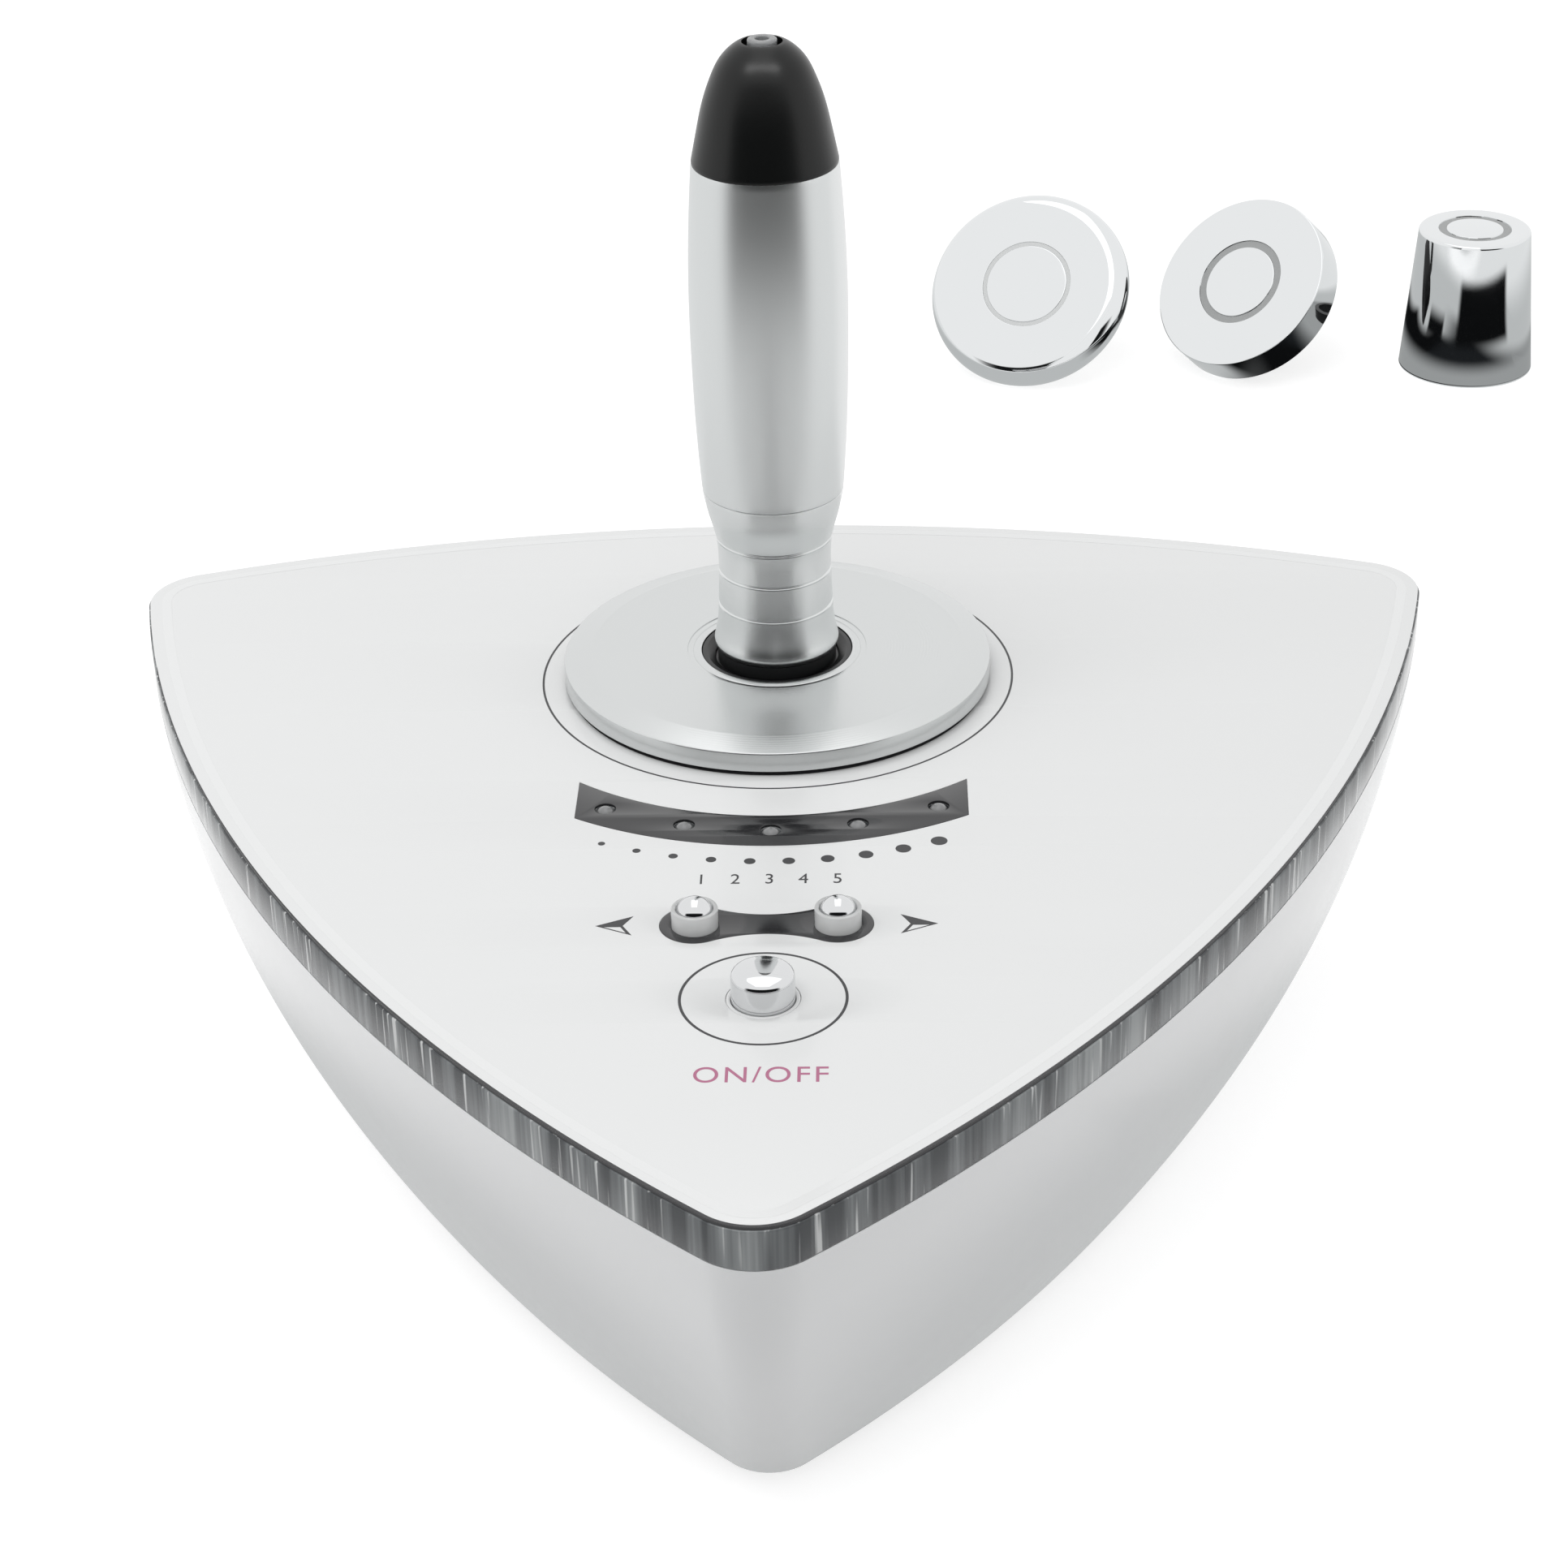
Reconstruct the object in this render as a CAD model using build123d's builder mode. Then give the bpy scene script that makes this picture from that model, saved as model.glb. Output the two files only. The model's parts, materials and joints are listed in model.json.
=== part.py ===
from build123d import *

# Facial toning device: a three-sided base with a handpiece standing in its holder, three press
# buttons, five indicator lights and three loose treatment heads. Millimetres. The origin is on the
# table under the middle of the base, +Z is up, and the base's front corner points to -Y.

import os
from math import asin, atan2, cos, hypot, radians, sin, sqrt

# ---- base: the bowed triangle, at the top edge and at the foot of its wall
base_reach = 100.0  # middle of the base to the middle of a side
side_radius = 359.8
corner_radius = 12.3
foot_side_radius = 315.0
foot_corner_radius = 9.2
side_inset = 24.6  # the wall's foot stands this far inside its top edge
side_bulge = 5.2  # the wall swells this far outside the straight line between its ends
shell_height = 68.0
wall = 2.6
foot_round = 1.6
least_corner = 1.5
wall_sections = 6

# ---- base: plates, ledges and their screws
foot_proud = 2.0
foot_width = 6.0
foot_inset = 12.0
foot_groove_depth = 1.2
cover_thickness = 2.6
cover_gap = 0.25
lower_ledge_thickness = 2.0
lower_ledge_width = 7.5
upper_ledge_thickness = 3.0
upper_ledge_width = 8.6
gasket_thickness = 0.5
plate_thickness = 7.5
panel_thickness = 0.5
edge_break = 0.35
inlay_gap = 0.04
screw_gap = 0.06
cover_boss_height = 4.5
cover_boss_radius = 3.2
cover_screw_radius = 1.5
plate_screw_radius = 1.3
plate_screw_grip = 5.0
plate_screw_swings = (-19.0, 0.0, 19.0)  # degrees either side of the middle of each side
cover_screw_swings = (-21.0, 21.0)
screw_head_height = 1.3
screw_head_ratio = 1.9
screw_head_bevel = 0.43
screw_cross_span = 1.2  # times the head's radius, as is the next one
screw_cross_width = 0.25
screw_recess_depth = 0.7
counterbore_depth = 1.4
tip_room = 0.4

# ---- holder for the handpiece, heights from the face panel's top
holder_y = 32.2
disc_radius = 41.2
disc_foot_radius = 38.5
disc_flat_radius = 36.0
disc_height = 6.0
disc_foot_height = 1.0
disc_rim_height = 5.0
disc_step_radius = 17.3
disc_step_depth = 0.25
cup_radius = 14.5
cup_body_radius = 13.4
cup_flange_thickness = 3.1
cup_rim_drop = 0.2
cup_mouth_radius = 13.6
cup_mouth_depth = 1.0
cup_throat_gap = 0.5
cup_depth = 13.0
cup_floor = 2.0
cup_gap = 0.1
shoulder_height = 4.0
rest_gap = 0.05
nut_radius = 19.0
nut_thickness = 4.0

# ---- handpiece: turned stations as (height above the face panel, radius)
cap_seam = (104.1, 13.45)
grip_seam = (40.1, 13.35)
barrel_stations = ((50.0, 14.0), (64.0, 14.5), (78.0, 14.65), (92.0, 14.25))
neck_flare = (35.7, 12.5)
neck_grooves = ((30.2, 11.1), (23.4, 10.75), (16.4, 10.95))
neck_collar = (9.6, 11.4)
neck_bead = (8.2, 11.95)
neck_foot = (7.0, 11.4)
cap_stations = ((110.2, 12.2), (115.5, 10.95), (119.6, 9.5), (122.8, 7.9), (124.9, 6.0))
cap_crown = (126.1, 4.1)
groove_radius = 0.42
tube_bore = 11.2
neck_bore = 8.2
tenon_length = 6.0
tenon_gap = 0.05
cap_cavity_radius = 8.2
cap_cavity_top = 117.5
bush_radius = 2.7
bush_bore = 1.25
bush_proud = 0.6
bush_flange_radius = 4.4
bush_flange_thickness = 1.8
bush_pocket_radius = 3.7
bush_pocket_depth = 3.2
spigot_radius = 9.0
spigot_length = 7.5
spigot_clearance = 0.4
mount_flange_radius = 11.4
mount_tenon_length = 8.0
thread_pitch = 1.5
thread_depth = 0.45
thread_start = 0.3
contact_radius = 1.5
contact_proud = 0.6
ring_contact_radius = 7.0
ring_contact_width = 1.4
ring_contact_depth = 1.5
wire_radius = 0.65
wire_spacing = 2.2

# ---- face panel: lights, window, buttons
lamp_step = 15.0  # degrees from one light to the next
lamp_count = 5
lamp_radius = 1.9
lamp_flange_radius = 2.4
lamp_flange_thickness = 1.0
lamp_proud = 0.35
lamp_gap = 0.05
lamp_leg_radius = 0.3
lamp_leg_spacing = 1.27
lamp_leg_proud = 1.27
window_outer_radius = 66.1  # about the holder's axis
window_width = 10.7
lamp_inset = 5.6  # from the window's outer edge
window_half_width = 35.6
key_y = -60.4
key_x = 12.3
key_lobe_radius = 6.1
key_waist = 6.3
power_y = -83.7
key_radius = 3.2
key_cylinder = 2.2
key_height = 5.3
key_guide_proud = 3.4
power_radius = 5.4
power_cylinder = 5.0
power_height = 6.0
power_guide_proud = 0.0
button_flange_thickness = 1.2
button_stem_radius = 1.4
button_stem_grip = 1.0
button_travel = 0.8
button_gap = 0.15
button_round = 0.9  # where the side meets the dome
guide_round = 0.3
guide_wall = 0.7
guide_gap = 0.04

# ---- boards and what stands on them
board_thickness = 1.6
control_board_drop = 8.4  # below the clear plate
control_board_width = 68.0
control_front_margin = 13.3  # from the middle of the power button to the board's front edge
control_rear_margin = 8.2  # from the rearmost lights to the board's rear edge
pillar_radius = 3.0
pillar_x = 26.0
pillar_inset = 5.0
pillar_stud_radius = 1.4
pillar_stud_length = 3.2
switch_size = 6.0
switch_height = 3.6
switch_corner = 0.5
post_height = 5.5
post_radius = 3.4
post_gap = 6.5  # from the rear posts to the ledge inside the shell
post_swing = 42.7  # degrees from the middle of the rear side to a rear post
board_margin = 3.5  # from the main board's edges to what stands along them
part_gap = 2.2  # between neighbours on the main board
board_screw_inset = 4.5
board_screw_radius = 1.2
board_screw_length = 6.0
core_width = 36.0
core_depth = 14.0
core_height = 30.0
core_leg = 6.0
core_setback = 32.0  # from the main board's rear edge
coil_wall = 5.6
coil_corner = 2.8
coil_gap = 0.3
sink_width = 42.0
sink_height = 28.0
sink_plate = 3.0
sink_fin_depth = 9.0
sink_fin_thickness = 1.4
sink_fins = 7
transistor_width = 10.0
transistor_height = 15.0
transistor_thickness = 4.5
transistor_spacing = 16.0
transistor_lift = 5.0
transistor_leg_pitch = 2.54
capacitor_radius = 5.0
capacitor_height = 18.0
capacitor_spacing = 13.0
capacitor_count = 3
capacitor_round = 0.6
ring_coil_radius = 8.0
ring_coil_section = 3.2
ribbon_width = 12.0
ribbon_thickness = 1.0
ribbon_setback = 12.0  # from the control board's rear edge
ribbon_bend = 6.0
ribbon_high = 40.0
ribbon_low = 30.0

# ---- rear sockets, at the height of their axes above the table
rear_axis_height = 46.0
rear_pad_thickness = 3.0
rear_pad_margin = 2.0
rear_pocket_depth = 3.5
rear_pocket_reach = 10.5  # far enough out of the seat to pass the wall's skin
inlet_x = -55.0
inlet_flange_radius = 8.0
inlet_flange_thickness = 1.6
inlet_barrel_radius = 5.5
inlet_barrel_length = 14.0
inlet_bore = 3.2
inlet_bore_depth = 10.0
inlet_pin_radius = 1.05
inlet_pin_sunk = 2.0
gland_x = 78.0
gland_flange_radius = 6.6
gland_flange_thickness = 3.0
gland_rim_thickness = 1.0
gland_barrel_radius = 4.4
gland_barrel_length = 10.0
gland_bore = 2.3
rear_nut_wall = 2.4
rear_nut_thickness = 3.0
rear_gap = 0.1
inner_wire_radius = 1.1
inner_wire_run = 12.0
inner_wire_drop = 18.0
inner_wire_bend = 4.0
inner_wire_setback = 20.0  # from the main board's rear edge to where they end on it

# ---- treatment heads, lengths from each face backwards
head_y = 370.0
large_x = 63.0
large_turn = 20.0  # a leaning head faces this many degrees from the front towards -X
large_radius = 28.8
large_thickness = 10.0
large_boss_radius = 17.0
large_length = 20.0
large_ring_radius = 12.8
large_ring_groove = 1.2
medium_x = 123.8
medium_turn = 45.0
medium_radius = 25.8
medium_thickness = 10.0
medium_boss_radius = 20.0
medium_length = 16.5
medium_rim_round = 0.4
medium_ring_radius = 12.8
medium_ring_groove = 2.1
small_x = 189.5
small_face_radius = 15.6
small_foot_radius = 18.8
small_length = 41.0
small_rim_round = 1.0
small_ring_radius = 10.2
small_ring_groove = 2.3
head_wall = 2.5
ring_sunk = 0.35
core_thickness = 1.6
insulator_floor = 1.2
web_thickness = 2.0
core_stem_radius = 1.4
core_gap = 0.02
sleeve_wall = 1.0
sleeve_proud = 0.15
coupling_gap = 0.15
coupling_depth = 8.0
core_rim_round = 0.25

# ---- heights of the stack, above the table
shell_foot = foot_proud
plate_foot = shell_foot + shell_height
panel_foot = plate_foot + plate_thickness
top = panel_foot + panel_thickness
upper_ledge_top = plate_foot - gasket_thickness
upper_ledge_foot = upper_ledge_top - upper_ledge_thickness
cover_top = shell_foot + cover_thickness
lower_ledge_top = cover_top + lower_ledge_thickness
board_foot = cover_top + post_height
board_top = board_foot + board_thickness
control_top = plate_foot - control_board_drop
control_foot = control_top - board_thickness
holder = Plane(origin=(0, holder_y, top))


def wall_size(height):
    """Reach, side radius and corner radius of the base's outer skin at a height above the table."""
    down = (plate_foot - height) / shell_height
    inset = side_inset * down - 4 * side_bulge * down * (1 - down)
    sides = side_radius + (foot_side_radius - side_radius) * down
    corners = corner_radius + (foot_corner_radius - corner_radius) * down
    return base_reach - inset, sides, corners


def bowed_triangle(reach, sides, corners):
    """A triangle with bowed sides and round corners, one corner towards -Y."""
    bow = sides - reach
    arc_centre = Vector(bow * cos(radians(30)), bow * sin(radians(30)))
    corner_y = arc_centre.Y - sqrt((sides - corners) ** 2 - arc_centre.X**2)
    away = (Vector(0, corner_y) - arc_centre).normalized()
    left = arc_centre + away * sides
    right = Vector(-left.X, left.Y)
    tip = Vector(0, corner_y - corners)
    side_middle = Vector(reach * cos(radians(-30)), reach * sin(radians(-30)))
    with BuildSketch() as outline:
        with BuildLine():
            for turn in (0, 120, 240):
                ThreePointArc(*[p.rotate(Axis.Z, turn) for p in (left, tip, right)])
                next_left = left.rotate(Axis.Z, turn + 120)
                ThreePointArc(right.rotate(Axis.Z, turn), side_middle.rotate(Axis.Z, turn), next_left)
        make_face()
    return outline.sketch


def skin(height, inward=0.0):
    """The base's outline at a height above the table, moved inwards."""
    reach, sides, corners = wall_size(height)
    return bowed_triangle(reach - inward, sides - inward, max(corners - inward, least_corner))


def edge_distance(height, inward, swing):
    """Distance from the middle of the base to its moved-in edge, swing degrees off a side's middle."""
    reach, sides, _ = wall_size(height)
    bow = sides - reach
    return sqrt((sides - inward) ** 2 - (bow * sin(radians(swing))) ** 2) - bow * cos(radians(swing))


def edge_places(height, inward, swings):
    """Points along the base's moved-in edge, the same on each of its three sides."""
    places = []
    for side in (90, 210, 330):
        for swing in swings:
            reach = edge_distance(height, inward, swing)
            places.append((reach * cos(radians(side + swing)), reach * sin(radians(side + swing))))
    return places


def rear_face(x):
    """Y of the flat seat cut for a socket in the rear wall, with its middle at x."""
    reach, sides, _ = wall_size(rear_axis_height)
    return sqrt(sides**2 - x**2) - (sides - reach) - rear_pocket_depth


def half_section(seat):
    """The plane of a turned piece's half section: X is its radius and Y runs along the seat's Z."""
    return Plane(origin=seat.origin, x_dir=seat.x_dir, z_dir=-seat.y_dir)


def turning_axis(seat):
    """The axis of a piece turned about a seat's Z."""
    return Axis(seat.origin, seat.z_dir)


def turned(seat, points):
    """A solid of revolution about the seat's Z from straight-sided (radius, height) points."""
    with BuildPart() as blank:
        with BuildSketch(half_section(seat)):
            with BuildLine():
                Polyline(*points, close=True)
            make_face()
        revolve(axis=turning_axis(seat))
    return blank.part


def tube(seat, outer, inner, foot, head):
    """A plain tube about the seat's Z."""
    return turned(seat, [(inner, foot), (outer, foot), (outer, head), (inner, head)])


def rod(seat, radius, foot, head):
    """A plain round bar about the seat's Z."""
    return turned(seat, [(0, foot), (radius, foot), (radius, head), (0, head)])


def screw(seat, radius, length):
    """A pan-head screw with a cross recess: its head stands on the seat and its shank goes below."""
    head_radius = radius * screw_head_ratio
    with BuildPart() as fastener:
        outline = [
            (0, -length),
            (radius, -length),
            (radius, 0),
            (head_radius, 0),
            (head_radius, screw_head_height - screw_head_bevel),
            (head_radius - screw_head_bevel, screw_head_height),
            (0, screw_head_height),
        ]
        add(turned(seat, outline))
        with BuildSketch(seat.offset(screw_head_height)):
            Rectangle(screw_cross_span * head_radius, screw_cross_width * head_radius)
            Rectangle(screw_cross_width * head_radius, screw_cross_span * head_radius)
        extrude(amount=-screw_recess_depth, mode=Mode.SUBTRACT)
    return fastener.part


def upside_down(x, y, height):
    """A seat that faces down."""
    return Plane(origin=(x, y, height), x_dir=(1, 0, 0), z_dir=(0, 0, -1))


def write(piece, name):
    """Labels a finished piece and writes it as one STEP file."""
    piece.part.label = name
    export_step(piece.part, f"parts/{name}.step")


os.makedirs("parts", exist_ok=True)

# ---- base: the shell, a bowl with an inner ledge at its top and one just above its cover


def bowl(foot, head, inward=0.0):
    """A solid between two heights whose sides follow the base's skin, moved inwards."""
    with BuildPart() as form:
        for i in range(wall_sections + 1):
            height = foot + (head - foot) * i / wall_sections
            with BuildSketch(Plane.XY.offset(height)):
                add(skin(height, inward))
        loft()
    return form.part


def slab(foot, head, outline):
    """A flat-sided solid between two heights."""
    with BuildPart() as plate:
        with BuildSketch(Plane.XY.offset(foot)):
            add(outline)
        extrude(amount=head - foot)
    return plate.part


def rear_seat(x):
    """The flat seat of a socket in the rear wall; its Z points out of the wall."""
    return Plane(origin=(x, rear_face(x), rear_axis_height), x_dir=(-1, 0, 0), z_dir=(0, 1, 0))


inlet_seat = rear_seat(inlet_x)
gland_seat = rear_seat(gland_x)
rear_sockets = (
    (inlet_seat, inlet_flange_radius, inlet_barrel_radius),
    (gland_seat, gland_flange_radius, gland_barrel_radius),
)
cover_screw_places = edge_places(shell_foot, wall + lower_ledge_width / 2, cover_screw_swings)
plate_screw_places = edge_places(plate_foot, wall + upper_ledge_width / 2, plate_screw_swings)
outer_form = bowl(shell_foot, plate_foot)

with BuildPart() as body_shell:
    add(outer_form)
    fillet(body_shell.edges().group_by(Axis.Z)[0], foot_round)
    add(bowl(lower_ledge_top, upper_ledge_foot, wall), mode=Mode.SUBTRACT)
    add(slab(shell_foot, cover_top, skin(shell_foot, wall)), mode=Mode.SUBTRACT)
    lower_opening = skin(shell_foot, wall + lower_ledge_width)
    add(slab(cover_top, lower_ledge_top, lower_opening), mode=Mode.SUBTRACT)
    upper_opening = skin(plate_foot, wall + upper_ledge_width)
    add(slab(upper_ledge_foot, upper_ledge_top, upper_opening), mode=Mode.SUBTRACT)
    add(slab(upper_ledge_top, plate_foot, skin(plate_foot, wall)), mode=Mode.SUBTRACT)
    with BuildSketch(Plane.XY.offset(lower_ledge_top)):
        with Locations(*cover_screw_places):
            Circle(cover_boss_radius)
    extrude(amount=cover_boss_height)
    with Locations(*[upside_down(x, y, cover_top) for x, y in cover_screw_places]):
        Hole(cover_screw_radius + screw_gap, lower_ledge_thickness + cover_boss_height - tip_room)
    with Locations(*[upside_down(x, y, upper_ledge_foot) for x, y in plate_screw_places]):
        Hole(plate_screw_radius + screw_gap, upper_ledge_thickness)
    for seat, flange_radius, barrel_radius in rear_sockets:
        with BuildSketch(seat.offset(-rear_pad_thickness)):
            Circle(flange_radius + rear_pad_margin)
        pad = extrude(amount=rear_pad_thickness + rear_pocket_reach, mode=Mode.PRIVATE)
        add(pad & outer_form)
        with BuildSketch(seat):
            Circle(flange_radius + rear_gap)
        extrude(amount=rear_pocket_reach, mode=Mode.SUBTRACT)
        with Locations(seat):
            Hole(barrel_radius + rear_gap, rear_pad_thickness)
write(body_shell, "body_shell")

# ---- base: the cover, its foot and its screws

post_reach = edge_distance(shell_foot, wall + lower_ledge_width + post_radius + post_gap, post_swing)
post_x = post_reach * sin(radians(post_swing))
rear_post_y = post_reach * cos(radians(post_swing))
main_board_rear = rear_post_y + board_screw_inset
main_board_side = post_x + board_screw_inset
core_x = core_width / 2 + board_margin - main_board_side
core_y = main_board_rear - core_setback
ring_coil_reach = ring_coil_radius + ring_coil_section
front_row_y = core_y - core_depth / 2 - coil_wall - part_gap - ring_coil_reach
main_board_front = front_row_y - ring_coil_reach - part_gap
front_post_y = main_board_front + board_screw_inset
post_places = [(x, y) for x in (-post_x, post_x) for y in (front_post_y, rear_post_y)]
foot_outline = skin(shell_foot, foot_inset) - skin(shell_foot, foot_inset + foot_width)

with BuildPart() as bottom_cover:
    add(slab(shell_foot, cover_top, skin(shell_foot, wall + cover_gap)))
    add(slab(shell_foot, shell_foot + foot_groove_depth, foot_outline), mode=Mode.SUBTRACT)
    with BuildSketch(Plane.XY.offset(cover_top)):
        with Locations(*post_places):
            Circle(post_radius)
    extrude(amount=post_height)
    with Locations(*[(x, y, board_foot) for x, y in post_places]):
        Hole(board_screw_radius + screw_gap, board_screw_length - board_thickness + tip_room)
    with Locations(*[upside_down(x, y, shell_foot) for x, y in cover_screw_places]):
        CounterBoreHole(
            radius=cover_screw_radius + screw_gap,
            counter_bore_radius=cover_screw_radius * screw_head_ratio + screw_gap,
            counter_bore_depth=counterbore_depth,
            depth=cover_thickness,
        )
write(bottom_cover, "bottom_cover")

with BuildPart() as foot_ring:
    add(slab(0, foot_proud + foot_groove_depth, foot_outline))
write(foot_ring, "foot_ring")

with BuildPart() as cover_screws:
    grip = cover_thickness - counterbore_depth + lower_ledge_thickness + cover_boss_height
    for x, y in cover_screw_places:
        seat = upside_down(x, y, shell_foot + counterbore_depth)
        add(screw(seat, cover_screw_radius, grip - 2 * tip_room))
write(cover_screws, "cover_screws")

# ---- base: the clear plate with its gasket and screws

guides = {
    "power": (0.0, power_y, power_radius, power_cylinder, power_height, power_guide_proud),
    "minus": (-key_x, key_y, key_radius, key_cylinder, key_height, key_guide_proud),
    "plus": (key_x, key_y, key_radius, key_cylinder, key_height, key_guide_proud),
}
window_inner_radius = window_outer_radius - window_width
lamp_ring_radius = window_outer_radius - lamp_inset
lamp_turns = [(i - (lamp_count - 1) / 2) * lamp_step for i in range(lamp_count)]
lamp_places = [
    (lamp_ring_radius * sin(radians(t)), holder_y - lamp_ring_radius * cos(radians(t))) for t in lamp_turns
]
holder_hole = cup_body_radius + cup_gap


def guide_radius(button_radius):
    """Outer radius of the guide round a button."""
    return button_radius + button_gap + guide_wall


with BuildPart() as clear_plate:
    add(slab(plate_foot, panel_foot, skin(plate_foot)))
    chamfer(clear_plate.edges().group_by(Axis.Z)[-1], edge_break)
    with Locations((0, holder_y, panel_foot)):
        Hole(holder_hole, plate_thickness)
    with Locations(*[(x, y, panel_foot) for x, y in lamp_places]):
        Hole(lamp_radius + lamp_gap, plate_thickness)
    for x, y, radius, *_ in guides.values():
        with Locations((x, y, panel_foot)):
            Hole(guide_radius(radius) + guide_gap, plate_thickness)
    with Locations(*[upside_down(x, y, plate_foot) for x, y in plate_screw_places]):
        Hole(plate_screw_radius + screw_gap, plate_screw_grip + tip_room)
write(clear_plate, "clear_plate")

with BuildPart() as plate_gasket:
    gasket_outline = skin(plate_foot, wall + cover_gap) - upper_opening
    add(slab(upper_ledge_top, plate_foot, gasket_outline))
    with Locations(*[(x, y, plate_foot) for x, y in plate_screw_places]):
        Hole(plate_screw_radius + screw_gap, gasket_thickness)
write(plate_gasket, "plate_gasket")

with BuildPart() as plate_screws:
    grip = upper_ledge_thickness + gasket_thickness + plate_screw_grip
    for x, y in plate_screw_places:
        add(screw(upside_down(x, y, upper_ledge_foot), plate_screw_radius, grip))
write(plate_screws, "plate_screws")

# ---- base: the face panel and the two dark inlays in it


def window_outline(grow=0.0):
    """The curved window over the row of lights, centred on the holder's axis."""
    with BuildSketch() as window:
        with Locations((0, holder_y)):
            Circle(window_outer_radius + grow)
            Circle(window_inner_radius - grow, mode=Mode.SUBTRACT)
            Rectangle(
                2 * (window_half_width + grow),
                2 * window_outer_radius,
                align=(Align.CENTER, Align.MAX),
                mode=Mode.INTERSECT,
            )
    return window.sketch


def key_outline(grow=0.0):
    """The waisted inlay round the two small buttons: two round lobes joined by hollow arcs."""
    lobe = key_lobe_radius + grow
    waist = key_waist / 2 + grow
    bow = (key_x**2 + waist**2 - lobe**2) / (2 * (lobe - waist))
    share = lobe / (bow + lobe)
    touch_x = key_x * (1 - share)
    touch_y = (waist + bow) * share
    with BuildSketch() as inlay:
        with BuildLine(Plane(origin=(0, key_y, 0))):
            ThreePointArc((-touch_x, touch_y), (0, waist), (touch_x, touch_y))
            ThreePointArc((touch_x, touch_y), (key_x + lobe, 0), (touch_x, -touch_y))
            ThreePointArc((touch_x, -touch_y), (0, -waist), (-touch_x, -touch_y))
            ThreePointArc((-touch_x, -touch_y), (-key_x - lobe, 0), (-touch_x, touch_y))
        make_face()
    return inlay.sketch


with BuildPart() as face_panel:
    add(slab(panel_foot, top, skin(plate_foot, edge_break)))
    add(slab(panel_foot, top, window_outline(inlay_gap)), mode=Mode.SUBTRACT)
    add(slab(panel_foot, top, key_outline(inlay_gap)), mode=Mode.SUBTRACT)
    with Locations((0, holder_y, top)):
        Hole(holder_hole, panel_thickness)
    with Locations((0, power_y, top)):
        Hole(guide_radius(power_radius) + guide_gap, panel_thickness)
write(face_panel, "face_panel")

with BuildPart() as led_window:
    add(slab(panel_foot, top, window_outline()))
    with Locations(*[(x, y, top) for x, y in lamp_places]):
        Hole(lamp_radius + lamp_gap, panel_thickness)
write(led_window, "led_window")

with BuildPart() as key_inlay:
    add(slab(panel_foot, top, key_outline()))
    with Locations((-key_x, key_y, top), (key_x, key_y, top)):
        Hole(guide_radius(key_radius) + guide_gap, panel_thickness)
write(key_inlay, "key_inlay")

# ---- base: the lights, each a domed lamp on two legs

for i, (x, y) in enumerate(lamp_places, 1):
    seat = Plane(origin=(x, y, plate_foot))
    with BuildPart() as lamp:
        with BuildSketch(half_section(seat)):
            with BuildLine():
                shoulder = top + lamp_proud - lamp_radius - plate_foot
                Polyline(
                    (0, shoulder + lamp_radius),
                    (0, -lamp_flange_thickness),
                    (lamp_flange_radius, -lamp_flange_thickness),
                    (lamp_flange_radius, 0),
                    (lamp_radius, 0),
                    (lamp_radius, shoulder),
                )
                RadiusArc((lamp_radius, shoulder), (0, shoulder + lamp_radius), -lamp_radius)
            make_face()
        revolve(axis=turning_axis(seat))
        with BuildSketch(seat.offset(-lamp_flange_thickness)):
            with GridLocations(2 * lamp_leg_spacing, 1, 2, 1):
                Circle(lamp_leg_radius)
        extrude(amount=lamp_flange_thickness - control_board_drop - board_thickness - lamp_leg_proud)
    write(lamp, f"led_{i}")

# ---- base: the three press buttons and their guides

for name, (x, y, radius, cylinder, height, proud) in guides.items():
    seat = Plane(origin=(x, y, top))
    with BuildPart() as guide:
        add(tube(seat, guide_radius(radius), radius + button_gap, plate_foot - top, proud))
        if proud > 0:
            fillet(guide.edges().group_by(Axis.Z)[-1], guide_round)
    write(guide, f"{name}_guide")

    flange_top = plate_foot - top - rest_gap
    flange_foot = flange_top - button_flange_thickness
    stem_foot = control_top + switch_height - button_stem_grip - top
    dome = min(height - cylinder, radius)
    with BuildPart() as button:
        with BuildSketch(half_section(seat)):
            with BuildLine():
                Polyline(
                    (0, height),
                    (0, stem_foot),
                    (button_stem_radius, stem_foot),
                    (button_stem_radius, flange_foot),
                    (guide_radius(radius) - button_gap, flange_foot),
                    (guide_radius(radius) - button_gap, flange_top),
                    (radius, flange_top),
                    (radius, height - dome),
                )
                RadiusArc((radius, height - dome), (0, height), -(radius**2 + dome**2) / (2 * dome))
            make_face()
        revolve(axis=turning_axis(seat))
        if dome < radius - button_round:
            rings = button.edges().filter_by(lambda edge: edge.is_closed)
            fillet(rings.group_by(Axis.Z)[-1], button_round)
    write(button, f"{name}_button")

# ---- base: the control board under the plate, its pillars and switches

lamp_ys = [y for _, y in lamp_places]
control_board_front = power_y - control_front_margin
control_board_rear = max(lamp_ys) + control_rear_margin
control_board_length = control_board_rear - control_board_front
pillar_ys = (control_board_front + pillar_inset, (key_y + min(lamp_ys)) / 2)
pillar_places = [(x, y) for x in (-pillar_x, pillar_x) for y in pillar_ys]

with BuildPart() as control_board:
    with BuildSketch(Plane.XY.offset(control_foot)):
        with Locations((0, control_board_front)):
            Rectangle(control_board_width, control_board_length, align=(Align.CENTER, Align.MIN))
        with Locations(*lamp_places):
            with GridLocations(2 * lamp_leg_spacing, 1, 2, 1):
                Circle(lamp_leg_radius + lamp_gap, mode=Mode.SUBTRACT)
        with Locations(*pillar_places):
            Circle(pillar_stud_radius + lamp_gap, mode=Mode.SUBTRACT)
    extrude(amount=board_thickness)
write(control_board, "control_board")

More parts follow.
